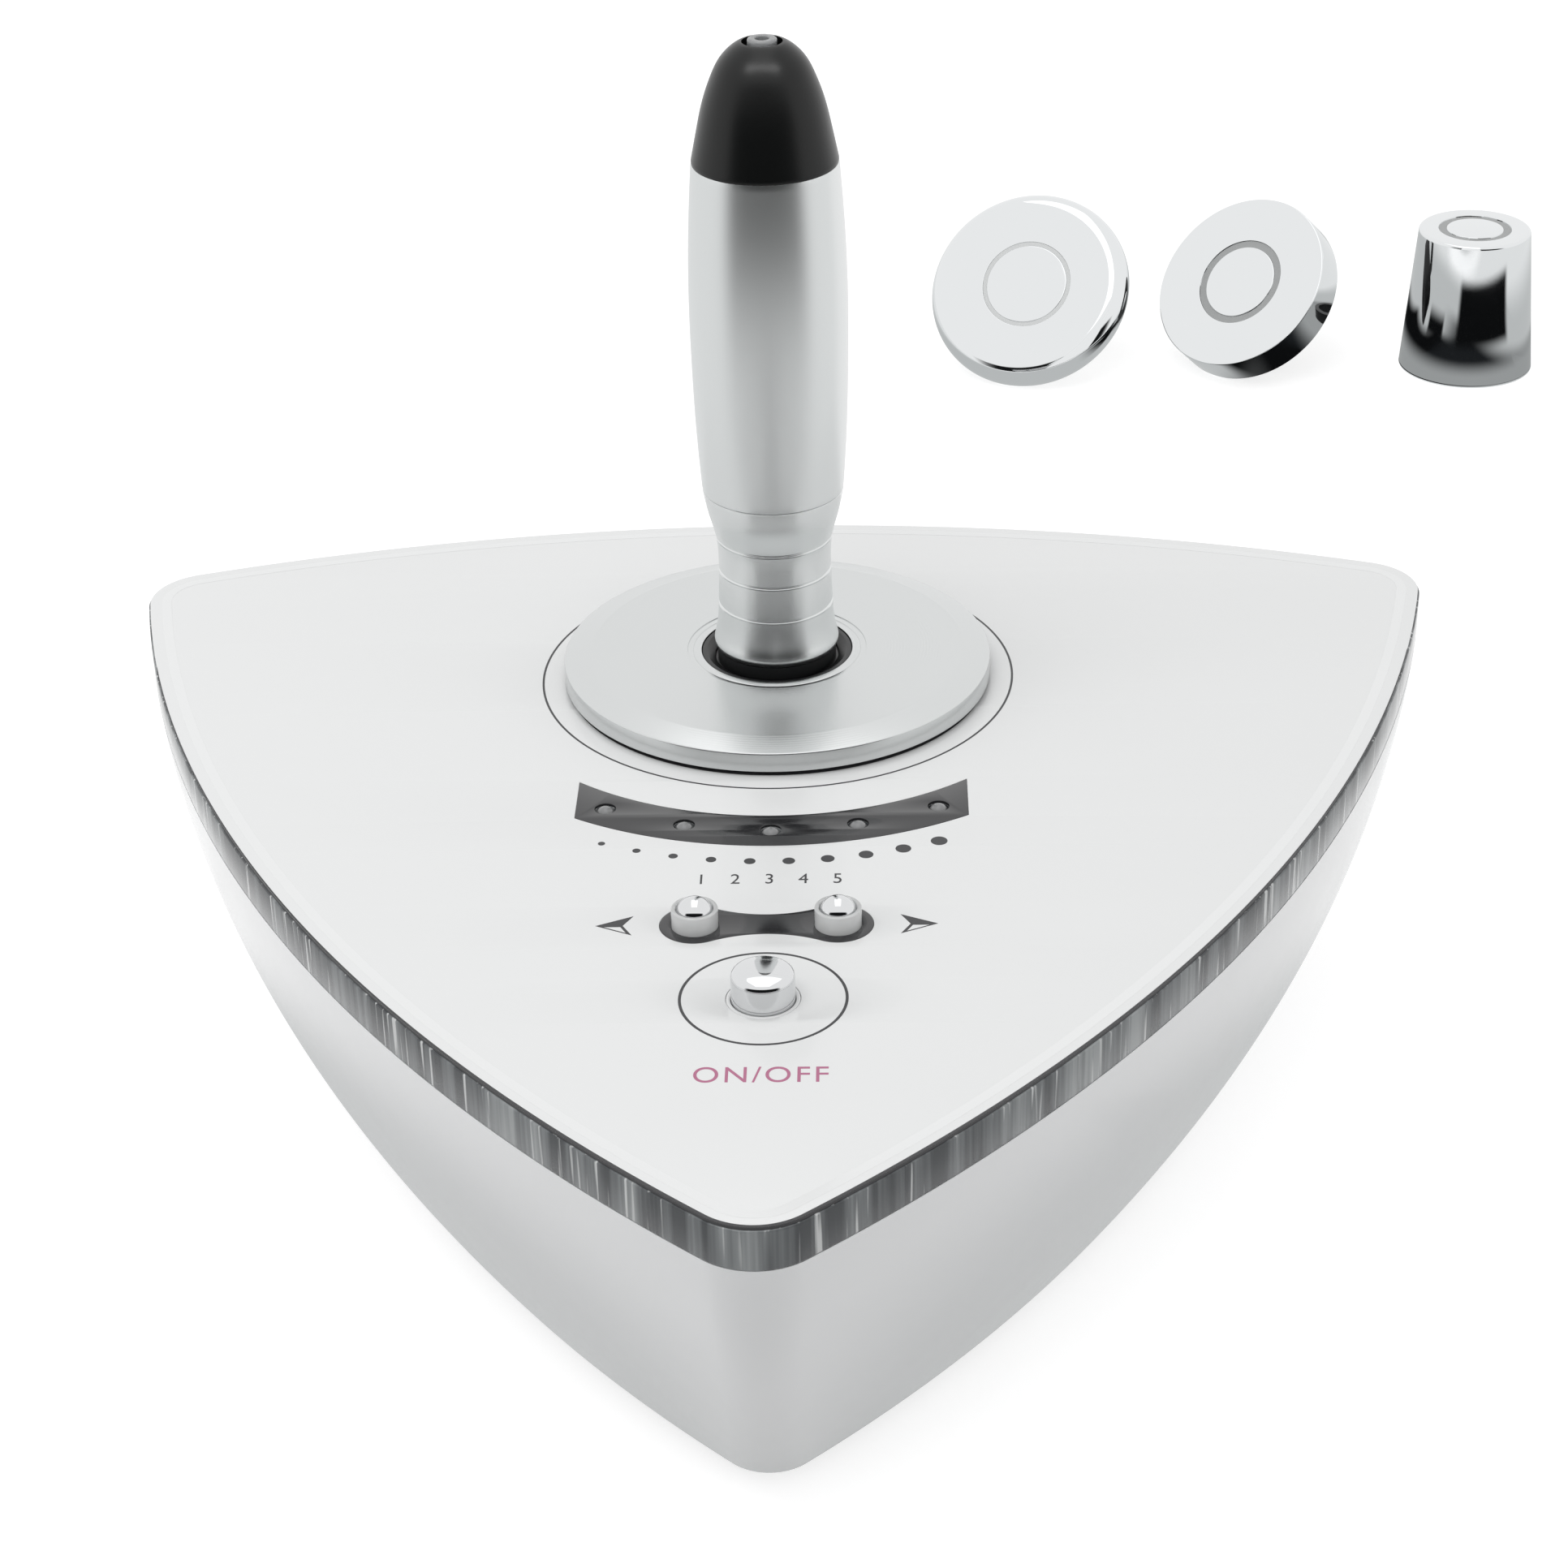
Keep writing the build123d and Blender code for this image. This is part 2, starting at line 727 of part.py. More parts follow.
with BuildPart() as board_pillars:
    for x, y in pillar_places:
        seat = Plane(origin=(x, y, control_top))
        add(rod(seat, pillar_radius, 0, control_board_drop))
        add(rod(seat, pillar_stud_radius, -pillar_stud_length, 0))
write(board_pillars, "board_pillars")

with BuildPart() as tact_switches:
    bore_depth = button_stem_grip + button_travel + tip_room
    for x, y, *_ in guides.values():
        seat = Plane(origin=(x, y, control_top))
        with BuildSketch(seat):
            RectangleRounded(switch_size, switch_size, switch_corner)
        extrude(amount=switch_height)
        with Locations((x, y, control_top + switch_height)):
            Hole(button_stem_radius + button_gap, bore_depth)
write(tact_switches, "tact_switches")

# ---- base: the main board on the cover's posts, and what stands on it

with BuildPart() as main_board:
    with BuildSketch(Plane.XY.offset(board_foot)):
        with Locations((0, main_board_front)):
            board_length = main_board_rear - main_board_front
            Rectangle(2 * main_board_side, board_length, align=(Align.CENTER, Align.MIN))
        with Locations(*post_places):
            Circle(board_screw_radius + screw_gap, mode=Mode.SUBTRACT)
    extrude(amount=board_thickness)
write(main_board, "main_board")

with BuildPart() as board_screws:
    for x, y in post_places:
        add(screw(Plane(origin=(x, y, board_top)), board_screw_radius, board_screw_length))
write(board_screws, "board_screws")

core_window = (core_width - 4 * core_leg) / 2

with BuildPart() as transformer_core:
    with BuildSketch(Plane(origin=(core_x, core_y, board_top), x_dir=(1, 0, 0), z_dir=(0, -1, 0))):
        with Locations((0, core_height / 2)):
            Rectangle(core_width, core_height)
            with GridLocations(2 * core_leg + core_window, 1, 2, 1):
                Rectangle(core_window, core_height - 2 * core_leg, mode=Mode.SUBTRACT)
    extrude(amount=core_depth / 2, both=True)
write(transformer_core, "transformer_core")

with BuildPart() as transformer_coil:
    with BuildSketch(Plane(origin=(core_x, core_y, board_top + core_leg + coil_gap))):
        RectangleRounded(2 * core_leg + 2 * coil_wall, core_depth + 2 * coil_wall, coil_corner)
        Rectangle(2 * core_leg, core_depth, mode=Mode.SUBTRACT)
    extrude(amount=core_height - 2 * core_leg - 2 * coil_gap)
write(transformer_coil, "transformer_coil")

sink_x = post_x - board_screw_radius * screw_head_ratio - part_gap - sink_width / 2
fin_y = main_board_rear - board_margin - sink_fin_depth / 2
sink_back = fin_y - sink_fin_depth / 2 - sink_plate

with BuildPart() as heat_sink:
    with BuildSketch(Plane.XY.offset(board_top)):
        with Locations((sink_x, sink_back)):
            Rectangle(sink_width, sink_plate, align=(Align.CENTER, Align.MIN))
        fin_pitch = (sink_width - sink_fin_thickness) / (sink_fins - 1)
        with Locations((sink_x, fin_y)):
            with GridLocations(fin_pitch, 1, sink_fins, 1):
                Rectangle(sink_fin_thickness, sink_fin_depth)
    extrude(amount=sink_height)
write(heat_sink, "heat_sink")

with BuildPart() as power_transistors:
    body_y = sink_back - transistor_thickness / 2
    with BuildSketch(Plane.XY.offset(board_top + transistor_lift)):
        with Locations((sink_x, body_y)):
            with GridLocations(transistor_spacing, 1, 2, 1):
                Rectangle(transistor_width, transistor_thickness)
    extrude(amount=transistor_height)
    with BuildSketch(Plane.XY.offset(board_top)):
        with Locations((sink_x, body_y)):
            with GridLocations(transistor_spacing, 1, 2, 1):
                with GridLocations(transistor_leg_pitch, 1, 3, 1):
                    Circle(lamp_leg_radius)
    extrude(amount=transistor_lift)
write(power_transistors, "power_transistors")

with BuildPart() as filter_capacitors:
    with BuildSketch(Plane.XY.offset(board_top)):
        with Locations((sink_x, front_row_y)):
            with GridLocations(capacitor_spacing, 1, capacitor_count, 1):
                Circle(capacitor_radius)
    extrude(amount=capacitor_height)
    fillet(filter_capacitors.edges().group_by(Axis.Z)[-1], capacitor_round)
write(filter_capacitors, "filter_capacitors")

with BuildPart() as rf_coil:
    with Locations((-sink_x, front_row_y, board_top + ring_coil_section)):
        Torus(ring_coil_radius, ring_coil_section)
write(rf_coil, "rf_coil")

ribbon_top_y = control_board_rear - ribbon_setback
ribbon_foot_y = front_row_y - capacitor_radius - part_gap - ribbon_thickness / 2

with BuildPart() as panel_cable:
    with BuildLine(Plane.YZ) as ribbon_route:
        FilletPolyline(
            (ribbon_top_y, control_foot),
            (ribbon_top_y, ribbon_high),
            (ribbon_foot_y, ribbon_low),
            (ribbon_foot_y, board_top),
            radius=ribbon_bend,
        )
    with BuildSketch(Plane(origin=(0, ribbon_top_y, control_foot), x_dir=(1, 0, 0), z_dir=(0, 0, -1))):
        Rectangle(ribbon_width, ribbon_thickness)
    sweep(path=ribbon_route.line)
write(panel_cable, "panel_cable")

# ---- base: the two sockets in the rear wall, their nuts and wires

with BuildPart() as power_inlet:
    pin_top = inlet_flange_thickness - inlet_pin_sunk
    bore_foot = inlet_flange_thickness - inlet_bore_depth
    outline = [
        (0, -inlet_barrel_length),
        (inlet_barrel_radius, -inlet_barrel_length),
        (inlet_barrel_radius, 0),
        (inlet_flange_radius, 0),
        (inlet_flange_radius, inlet_flange_thickness),
        (inlet_bore, inlet_flange_thickness),
        (inlet_bore, bore_foot),
        (inlet_pin_radius, bore_foot),
        (inlet_pin_radius, pin_top),
        (0, pin_top),
    ]
    add(turned(inlet_seat, outline))
write(power_inlet, "power_inlet")

with BuildPart() as lead_gland:
    outline = [
        (gland_bore, -gland_barrel_length),
        (gland_barrel_radius, -gland_barrel_length),
        (gland_barrel_radius, 0),
        (gland_flange_radius, 0),
        (gland_flange_radius, gland_rim_thickness),
        (gland_barrel_radius, gland_flange_thickness),
        (gland_bore, gland_flange_thickness),
    ]
    add(turned(gland_seat, outline))
write(lead_gland, "lead_gland")

with BuildPart() as rear_nuts:
    for seat, _, barrel_radius in rear_sockets:
        with BuildSketch(seat.offset(-rear_pad_thickness)):
            RegularPolygon(barrel_radius + rear_gap + rear_nut_wall, 6, major_radius=False)
            Circle(barrel_radius + rear_gap / 2, mode=Mode.SUBTRACT)
        extrude(amount=-rear_nut_thickness)
write(rear_nuts, "rear_nuts")

with BuildPart() as inner_wires:
    wire_ends = ((inlet_seat, inlet_barrel_length, -1), (gland_seat, gland_barrel_length, 1))
    for seat, barrel_length, side in wire_ends:
        start = seat.offset(-barrel_length).origin
        foot_x = side * (main_board_side - board_margin)
        foot_y = main_board_rear - inner_wire_setback
        with BuildLine() as wire_route:
            FilletPolyline(
                start,
                (start.X, start.Y - inner_wire_run, start.Z),
                (foot_x, foot_y, start.Z - inner_wire_drop),
                (foot_x, foot_y, board_top),
                radius=inner_wire_bend,
            )
        with BuildSketch(Plane(origin=start, x_dir=(1, 0, 0), z_dir=(0, -1, 0))):
            Circle(inner_wire_radius)
        sweep(path=wire_route.line)
write(inner_wires, "inner_wires")

# ---- holder: the disc, the socket in it and the nut that clamps both to the plate

cup_rim = disc_height - disc_step_depth - cup_rim_drop
cup_seat = cup_rim - cup_flange_thickness
throat = mount_flange_radius + cup_throat_gap
spigot_bore = spigot_radius + spigot_clearance
plate_underside = plate_foot - top

with BuildPart() as holder_disc:
    with BuildSketch(half_section(holder)):
        with BuildLine():
            rim_foot = (disc_radius, disc_rim_height)
            rim_head = (disc_flat_radius, disc_height)
            Polyline(
                rim_head,
                (disc_step_radius, disc_height),
                (disc_step_radius, disc_height - disc_step_depth),
                (cup_radius + cup_gap, disc_height - disc_step_depth),
                (cup_radius + cup_gap, cup_seat),
                (holder_hole, cup_seat),
                (holder_hole, 0),
                (disc_foot_radius, 0),
                (disc_foot_radius, disc_foot_height),
                (disc_radius - disc_foot_height, disc_foot_height),
                (disc_radius, 2 * disc_foot_height),
                rim_foot,
            )
            Bezier(rim_foot, (disc_radius, disc_height), rim_head)
        make_face()
    revolve(axis=turning_axis(holder))
write(holder_disc, "holder_disc")

with BuildPart() as socket_cup:
    outline = [
        (0, -cup_depth),
        (cup_body_radius, -cup_depth),
        (cup_body_radius, cup_seat),
        (cup_radius, cup_seat),
        (cup_radius, cup_rim),
        (cup_mouth_radius, cup_rim),
        (throat, cup_rim - cup_mouth_depth),
        (throat, shoulder_height),
        (spigot_bore, shoulder_height),
        (spigot_bore, cup_floor - cup_depth),
        (0, cup_floor - cup_depth),
    ]
    add(turned(holder, outline))
write(socket_cup, "socket_cup")

with BuildPart() as socket_nut:
    with BuildSketch(holder.offset(plate_underside - nut_thickness)):
        RegularPolygon(nut_radius, 6)
        Circle(cup_body_radius + cup_gap / 2, mode=Mode.SUBTRACT)
    extrude(amount=nut_thickness)
write(socket_nut, "socket_nut")

# ---- handpiece


def across(stations):
    """Stations as (radius, height) points."""
    return [(radius, height) for height, radius in stations]


mount_foot = shoulder_height + rest_gap
neck_foot_height, neck_foot_radius = neck_foot
grip_height, grip_radius = grip_seam
cap_height, cap_radius = cap_seam
crown_height, crown_radius = cap_crown
tenon_radius = tube_bore - tenon_gap
bush_top = crown_height + bush_proud

with BuildPart() as neck:
    with BuildSketch(half_section(holder)):
        with BuildLine():
            flow = across((neck_collar, *reversed(neck_grooves), neck_flare, grip_seam))
            Polyline(neck_foot[::-1], neck_bead[::-1], flow[0])
            Spline(*flow)
            Polyline(
                flow[-1],
                (tenon_radius, grip_height),
                (tenon_radius, grip_height + tenon_length),
                (neck_bore, grip_height + tenon_length),
                (neck_bore, neck_foot_height),
                neck_foot[::-1],
            )
        make_face()
    revolve(axis=turning_axis(holder))
    with BuildSketch(half_section(holder)):
        with Locations(*across(neck_grooves)):
            Circle(groove_radius)
    revolve(axis=turning_axis(holder), mode=Mode.SUBTRACT)
write(neck, "neck")

with BuildPart() as barrel:
    with BuildSketch(half_section(holder)):
        with BuildLine():
            flow = across((grip_seam, *barrel_stations, cap_seam))
            Spline(*flow)
            Polyline(flow[-1], (tube_bore, cap_height), (tube_bore, grip_height), flow[0])
        make_face()
    revolve(axis=turning_axis(holder))
write(barrel, "barrel")

with BuildPart() as end_cap:
    with BuildSketch(half_section(holder)):
        with BuildLine():
            flow = across((cap_seam, *cap_stations, cap_crown))
            Spline(*flow, tangents=((-0.2, 1), (-1, 0.4)))
            Polyline(
                flow[-1],
                (bush_pocket_radius, crown_height),
                (bush_pocket_radius, crown_height - bush_pocket_depth),
                (bush_radius + tenon_gap, crown_height - bush_pocket_depth),
                (bush_radius + tenon_gap, cap_cavity_top),
                (cap_cavity_radius, cap_cavity_top),
                (cap_cavity_radius, cap_height - tenon_length),
                (tenon_radius, cap_height - tenon_length),
                (tenon_radius, cap_height),
                flow[0],
            )
        make_face()
    revolve(axis=turning_axis(holder))
write(end_cap, "end_cap")

with BuildPart() as cap_gland:
    outline = [
        (bush_bore, cap_cavity_top - bush_flange_thickness),
        (bush_flange_radius, cap_cavity_top - bush_flange_thickness),
        (bush_flange_radius, cap_cavity_top),
        (bush_radius, cap_cavity_top),
        (bush_radius, bush_top),
        (bush_bore, bush_top),
    ]
    add(turned(holder, outline))
write(cap_gland, "cap_gland")

spigot_foot = mount_foot - spigot_length
contact_hole = contact_radius + tenon_gap
ring_inner = ring_contact_radius - ring_contact_width


def ring_grooves(radius, head, foot):
    """Points down the side of a threaded stretch, drawn as equal V grooves."""
    turns = int((head - foot - thread_start) / thread_pitch)
    points = []
    for i in range(turns):
        crest = head - thread_start - i * thread_pitch
        points += [(radius, crest), (radius - thread_depth, crest - thread_pitch / 2)]
    return points


with BuildPart() as head_mount:
    outline = [
        (contact_hole, neck_foot_height + mount_tenon_length),
        (neck_bore - tenon_gap, neck_foot_height + mount_tenon_length),
        (neck_bore - tenon_gap, neck_foot_height),
        (mount_flange_radius, neck_foot_height),
        (mount_flange_radius, mount_foot),
        (spigot_radius, mount_foot),
        *ring_grooves(spigot_radius, mount_foot, spigot_foot),
        (spigot_radius - thread_depth, spigot_foot),
        (ring_contact_radius + tenon_gap, spigot_foot),
        (ring_contact_radius + tenon_gap, spigot_foot + ring_contact_depth),
        (ring_inner - tenon_gap, spigot_foot + ring_contact_depth),
        (ring_inner - tenon_gap, spigot_foot),
        (contact_hole, spigot_foot),
    ]
    add(turned(holder, outline))
write(head_mount, "head_mount")

with BuildPart() as ring_contact:
    ring_head = spigot_foot + ring_contact_depth
    add(tube(holder, ring_contact_radius, ring_inner, spigot_foot, ring_head))
write(ring_contact, "ring_contact")

contact_top = neck_foot_height + mount_tenon_length

with BuildPart() as centre_contact:
    add(rod(holder, contact_radius, spigot_foot - contact_proud, contact_top))
write(centre_contact, "centre_contact")

with BuildPart() as handpiece_wires:
    wire_head = cap_cavity_top - bush_flange_thickness
    for side in (-1, 1):
        seat = Plane(origin=(side * wire_spacing / 2, holder_y, top))
        add(rod(seat, wire_radius, contact_top, wire_head))
write(handpiece_wires, "handpiece_wires")

# ---- treatment heads, each drawn with its face at height zero of its seat, looking along +Z

recess = core_thickness + insulator_floor
web_foot = recess + web_thickness
coupling_bore = spigot_radius + coupling_gap
sleeve_radius = core_stem_radius + sleeve_wall


def leaning_seat(x, turned_by, tilt, foot_radius, length):
    """The seat of a head that leans back on the rear edge of its boss, tilt radians off the table."""
    turn = radians(turned_by)
    face_height = foot_radius * cos(tilt) + length * sin(tilt)
    ahead = (-sin(turn) * cos(tilt), -cos(turn) * cos(tilt), sin(tilt))
    return Plane(origin=(x, head_y, face_height), x_dir=(cos(turn), -sin(turn), 0), z_dir=ahead)


def write_head(name, seat, form, length, foot_radius, ring_radius, groove):
    """Writes the four pieces of a treatment head whose outer form is given."""
    hollow = foot_radius - head_wall
    with BuildPart() as shell:
        add(form)
        add(rod(seat, ring_radius + core_gap, -recess, 0), mode=Mode.SUBTRACT)
        add(rod(seat, sleeve_radius + core_gap, -web_foot, 0), mode=Mode.SUBTRACT)
        add(rod(seat, hollow + core_gap, -length, -web_foot), mode=Mode.SUBTRACT)
    write(shell, f"{name}_head_shell")

    core_radius = ring_radius - groove
    with BuildPart() as insulator:
        insulator_outline = [
            (core_radius + core_gap, -ring_sunk),
            (ring_radius, -ring_sunk),
            (ring_radius, -recess),
            (sleeve_radius, -recess),
            (sleeve_radius, -web_foot - sleeve_proud),
            (core_stem_radius + core_gap, -web_foot - sleeve_proud),
            (core_stem_radius + core_gap, -core_thickness),
            (core_radius + core_gap, -core_thickness),
        ]
        add(turned(seat, insulator_outline))
    write(insulator, f"{name}_head_insulator")

    stem_end = spigot_length + contact_proud - length
    with BuildPart() as core:
        core_outline = [
            (0, stem_end),
            (core_stem_radius, stem_end),
            (core_stem_radius, -core_thickness),
            (core_radius, -core_thickness),
            (core_radius, -core_rim_round),
            (core_radius - core_rim_round, 0),
            (0, 0),
        ]
        add(turned(seat, core_outline))
    write(core, f"{name}_head_core")

    with BuildPart() as coupling:
        add(tube(seat, hollow, coupling_bore, -length, coupling_depth - length))
    write(coupling, f"{name}_head_coupling")


nose = large_thickness / 2
nose_out = large_radius - nose - large_boss_radius
nose_back = large_length - nose
large_tilt = atan2(nose_out, nose_back) + asin(nose / hypot(nose_out, nose_back))
large_seat = leaning_seat(large_x, large_turn, large_tilt, large_boss_radius, large_length)

with BuildPart() as large_form:
    with BuildSketch(half_section(large_seat)):
        with BuildLine():
            Polyline(
                (large_radius - nose, 0),
                (0, 0),
                (0, -large_length),
                (large_boss_radius, -large_length),
                (large_boss_radius, -large_thickness),
                (large_radius - nose, -large_thickness),
            )
            ThreePointArc(
                (large_radius - nose, -large_thickness),
                (large_radius, -nose),
                (large_radius - nose, 0),
            )
        make_face()
    revolve(axis=turning_axis(large_seat))
write_head(
    "large",
    large_seat,
    large_form.part,
    large_length,
    large_boss_radius,
    large_ring_radius,
    large_ring_groove,
)

medium_tilt = atan2(medium_radius - medium_boss_radius, medium_length - medium_thickness)
medium_seat = leaning_seat(medium_x, medium_turn, medium_tilt, medium_boss_radius, medium_length)

with BuildPart() as medium_form:
    outline = [
        (0, -medium_length),
        (medium_boss_radius, -medium_length),
        (medium_boss_radius, -medium_thickness),
        (medium_radius, -medium_thickness),
        (medium_radius, -medium_rim_round),
        (medium_radius - medium_rim_round, 0),
        (0, 0),
    ]
    add(turned(medium_seat, outline))
write_head(
    "medium",
    medium_seat,
    medium_form.part,
    medium_length,
    medium_boss_radius,
    medium_ring_radius,
    medium_ring_groove,
)

small_seat = Plane(origin=(small_x, head_y, small_length))

with BuildPart() as small_form:
    outline = [(0, -small_length), (small_foot_radius, -small_length), (small_face_radius, 0), (0, 0)]
    add(turned(small_seat, outline))
    fillet(small_form.edges().group_by(Axis.Z)[-1], small_rim_round)
write_head(
    "small",
    small_seat,
    small_form.part,
    small_length,
    small_face_radius,
    small_ring_radius,
    small_ring_groove,
)
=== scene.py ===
"""Dresses the facial toning device: its base, its handpiece and its three treatment heads."""
import json
import logging
import math
from dataclasses import dataclass
from enum import Enum
from typing import Callable, Mapping, Sequence

import bmesh
import bpy
import numpy as np
from mathutils import Matrix, Vector


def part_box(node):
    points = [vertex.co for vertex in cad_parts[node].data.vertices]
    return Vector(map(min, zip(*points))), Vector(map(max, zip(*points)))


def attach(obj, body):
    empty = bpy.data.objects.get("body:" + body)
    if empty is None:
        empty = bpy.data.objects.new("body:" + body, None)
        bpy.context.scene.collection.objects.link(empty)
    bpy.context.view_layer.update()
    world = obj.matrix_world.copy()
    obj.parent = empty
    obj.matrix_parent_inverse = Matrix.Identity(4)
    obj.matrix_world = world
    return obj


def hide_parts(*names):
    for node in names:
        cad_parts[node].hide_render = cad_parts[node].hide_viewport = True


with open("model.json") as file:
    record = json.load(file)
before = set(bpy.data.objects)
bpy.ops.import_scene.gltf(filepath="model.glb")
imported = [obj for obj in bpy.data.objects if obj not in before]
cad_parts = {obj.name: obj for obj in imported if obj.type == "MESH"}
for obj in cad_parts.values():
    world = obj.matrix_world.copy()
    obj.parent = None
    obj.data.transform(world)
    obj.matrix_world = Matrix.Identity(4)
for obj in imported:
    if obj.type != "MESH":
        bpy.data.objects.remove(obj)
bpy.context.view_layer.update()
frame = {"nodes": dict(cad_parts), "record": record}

MM = 0.001
CREASE = math.radians(32)  # an edge that turns more than this stays sharp

log = logging.getLogger("toning_device")

Point = tuple[float, float]
Corner = tuple[float, float, float]
Mesh = bpy.types.Mesh
Piece = bpy.types.Object
Tree = bpy.types.NodeTree
Socket = bpy.types.NodeSocket


# ---------------------------------------------------------------- nodes, colours and meshes


def linear(code: str) -> tuple[float, float, float, float]:
    """Turns an sRGB hex colour into the linear colour that a shader takes.

    Args:
        code: six hex digits, with or without a leading #.

    Returns:
        Red, green, blue and an alpha of 1.
    """
    levels = [int(code.lstrip("#")[i : i + 2], 16) / 255 for i in (0, 2, 4)]
    light = [v / 12.92 if v <= 0.04045 else ((v + 0.055) / 1.055) ** 2.4 for v in levels]
    return light[0], light[1], light[2], 1.0


def add_node(
    tree: Tree,
    kind: str,
    settings: Mapping[str, object] | None = None,
    inputs: Mapping[str | int, object] | None = None,
) -> bpy.types.Node:
    """Adds a node, sets its properties and fills or links its inputs.

    Args:
        tree: the tree that the node joins.
        kind: the name of the node's type.
        settings: properties of the node by name.
        inputs: a value, an output socket or a node, which gives its first output, for each named
            or numbered input.

    Returns:
        The new node.
    """
    node = tree.nodes.new(kind)
    for key, value in (settings or {}).items():
        setattr(node, key, value)
    for key, value in (inputs or {}).items():
        if isinstance(value, bpy.types.Node):
            value = value.outputs[0]
        if isinstance(value, Socket):
            tree.links.new(value, node.inputs[key])
        else:
            node.inputs[key].default_value = value
    return node


def object_place(tree: Tree, centre: Corner = (0.0, 0.0, 0.0), stretch: Corner = (1.0, 1.0, 1.0)) -> Socket:
    """Object coordinates in millimetres from a centre in millimetres, times a factor on each axis."""
    inputs = {
        "Vector": add_node(tree, "ShaderNodeTexCoord").outputs["Object"],
        "Location": [-c * f for c, f in zip(centre, stretch)],
        "Scale": [f / MM for f in stretch],
    }
    return add_node(tree, "ShaderNodeMapping", {"vector_type": "POINT"}, inputs).outputs[0]


def finish_mesh(mesh: Mesh, crease: float = CREASE) -> None:
    """Closes seams, turns the faces outwards and shades them smooth up to a crease.

    Args:
        mesh: the mesh, in metres.
        crease: the sharpest smooth edge, in radians.
    """
    solid = bmesh.new()
    solid.from_mesh(mesh)
    bmesh.ops.remove_doubles(solid, verts=solid.verts, dist=MM / 500)
    bmesh.ops.dissolve_degenerate(solid, dist=MM / 1000, edges=solid.edges)
    bmesh.ops.recalc_face_normals(solid, faces=solid.faces)
    solid.to_mesh(mesh)
    solid.free()
    mesh.shade_smooth()
    mesh.set_sharp_from_angle(angle=crease)


def new_piece(name: str, mesh: Mesh) -> Piece:
    """Links a piece whose mesh already lies where the piece belongs."""
    mesh.name = name
    piece = bpy.data.objects.new(name, mesh)
    bpy.context.scene.collection.objects.link(piece)
    return piece


def mesh_of(points: np.ndarray, faces: Sequence[Sequence[int]]) -> Mesh:
    """Makes a finished mesh from points in millimetres and the faces between them."""
    mesh = bpy.data.meshes.new("made")
    mesh.from_pydata((np.asarray(points) * MM).tolist(), [], [list(face) for face in faces])
    finish_mesh(mesh)
    return mesh


def ring_strip(first: int, second: int, count: int) -> list[tuple[int, int, int, int]]:
    """Faces between two closed rings of points that start at two indices."""
    after = [(i + 1) % count for i in range(count)]
    return [(first + i, first + k, second + k, second + i) for i, k in enumerate(after)]


def rounded(corners: Sequence[Corner], steps: int = 5) -> list[Point]:
    """Rounds the corners of a closed outline.

    Args:
        corners: (radius, height, rounding) of each corner, in order.
        steps: straight stretches in each rounding.

    Returns:
        The outline's points, in the same order.
    """
    points: list[Point] = []
    for i, (x, y, round_by) in enumerate(corners):
        here = Vector((x, y))
        before = Vector(corners[i - 1][:2]) - here
        after = Vector(corners[(i + 1) % len(corners)][:2]) - here
        if round_by <= 0 or before.length < 1e-6 or after.length < 1e-6:
            points.append((x, y))
            continue
        half = before.angle(after) / 2
        reach = min(round_by / math.tan(half), 0.49 * before.length, 0.49 * after.length)
        start, end = here + before.normalized() * reach, here + after.normalized() * reach
        for k in range(steps + 1):
            share = k / steps
            bend = start * (1 - share) ** 2 + here * 2 * share * (1 - share) + end * share**2
            points.append((bend.x, bend.y))
    return points


def smooth_curve(
    points: Sequence[Point], count: int, ways: tuple[Point, Point] | None = None
) -> list[Point]:
    """Runs a cubic curve through points, spaced by the distance between them.

    Args:
        points: the stations that the curve passes through.
        count: how many points the result has.
        ways: directions in which it starts and ends; without them its ends are straight.

    Returns:
        Points along the curve, ends included.
    """
    knots = np.asarray(points, float)
    steps = np.diff(knots, axis=0)
    spans = np.hypot(*steps.T)
    slopes = steps / spans[:, None]
    at = np.concatenate([[0], np.cumsum(spans)])
    size = len(at)
    matrix, right = np.eye(size), np.zeros((size, 2))
    for i in range(1, size - 1):
        matrix[i, i - 1 : i + 2] = spans[i - 1], 2 * (spans[i - 1] + spans[i]), spans[i]
        right[i] = 6 * (slopes[i] - slopes[i - 1])
    if ways:
        start, end = (np.array(way) / math.hypot(*way) for way in ways)
        matrix[0, :2] = 2 * spans[0], spans[0]
        right[0] = 6 * (slopes[0] - start)
        matrix[-1, -2:] = spans[-1], 2 * spans[-1]
        right[-1] = 6 * (end - slopes[-1])
    bends = np.linalg.solve(matrix, right)
    result = []
    for t in np.linspace(0, at[-1], count):
        i = min(int(np.searchsorted(at, t, side="right")) - 1, size - 2)
        left, gone, span = at[i + 1] - t, t - at[i], spans[i]
        value = (bends[i] * left**3 + bends[i + 1] * gone**3) / (6 * span)
        value += (knots[i] / span - bends[i] * span / 6) * left
        value += (knots[i + 1] / span - bends[i + 1] * span / 6) * gone
        result.append((float(value[0]), float(value[1])))
    return result


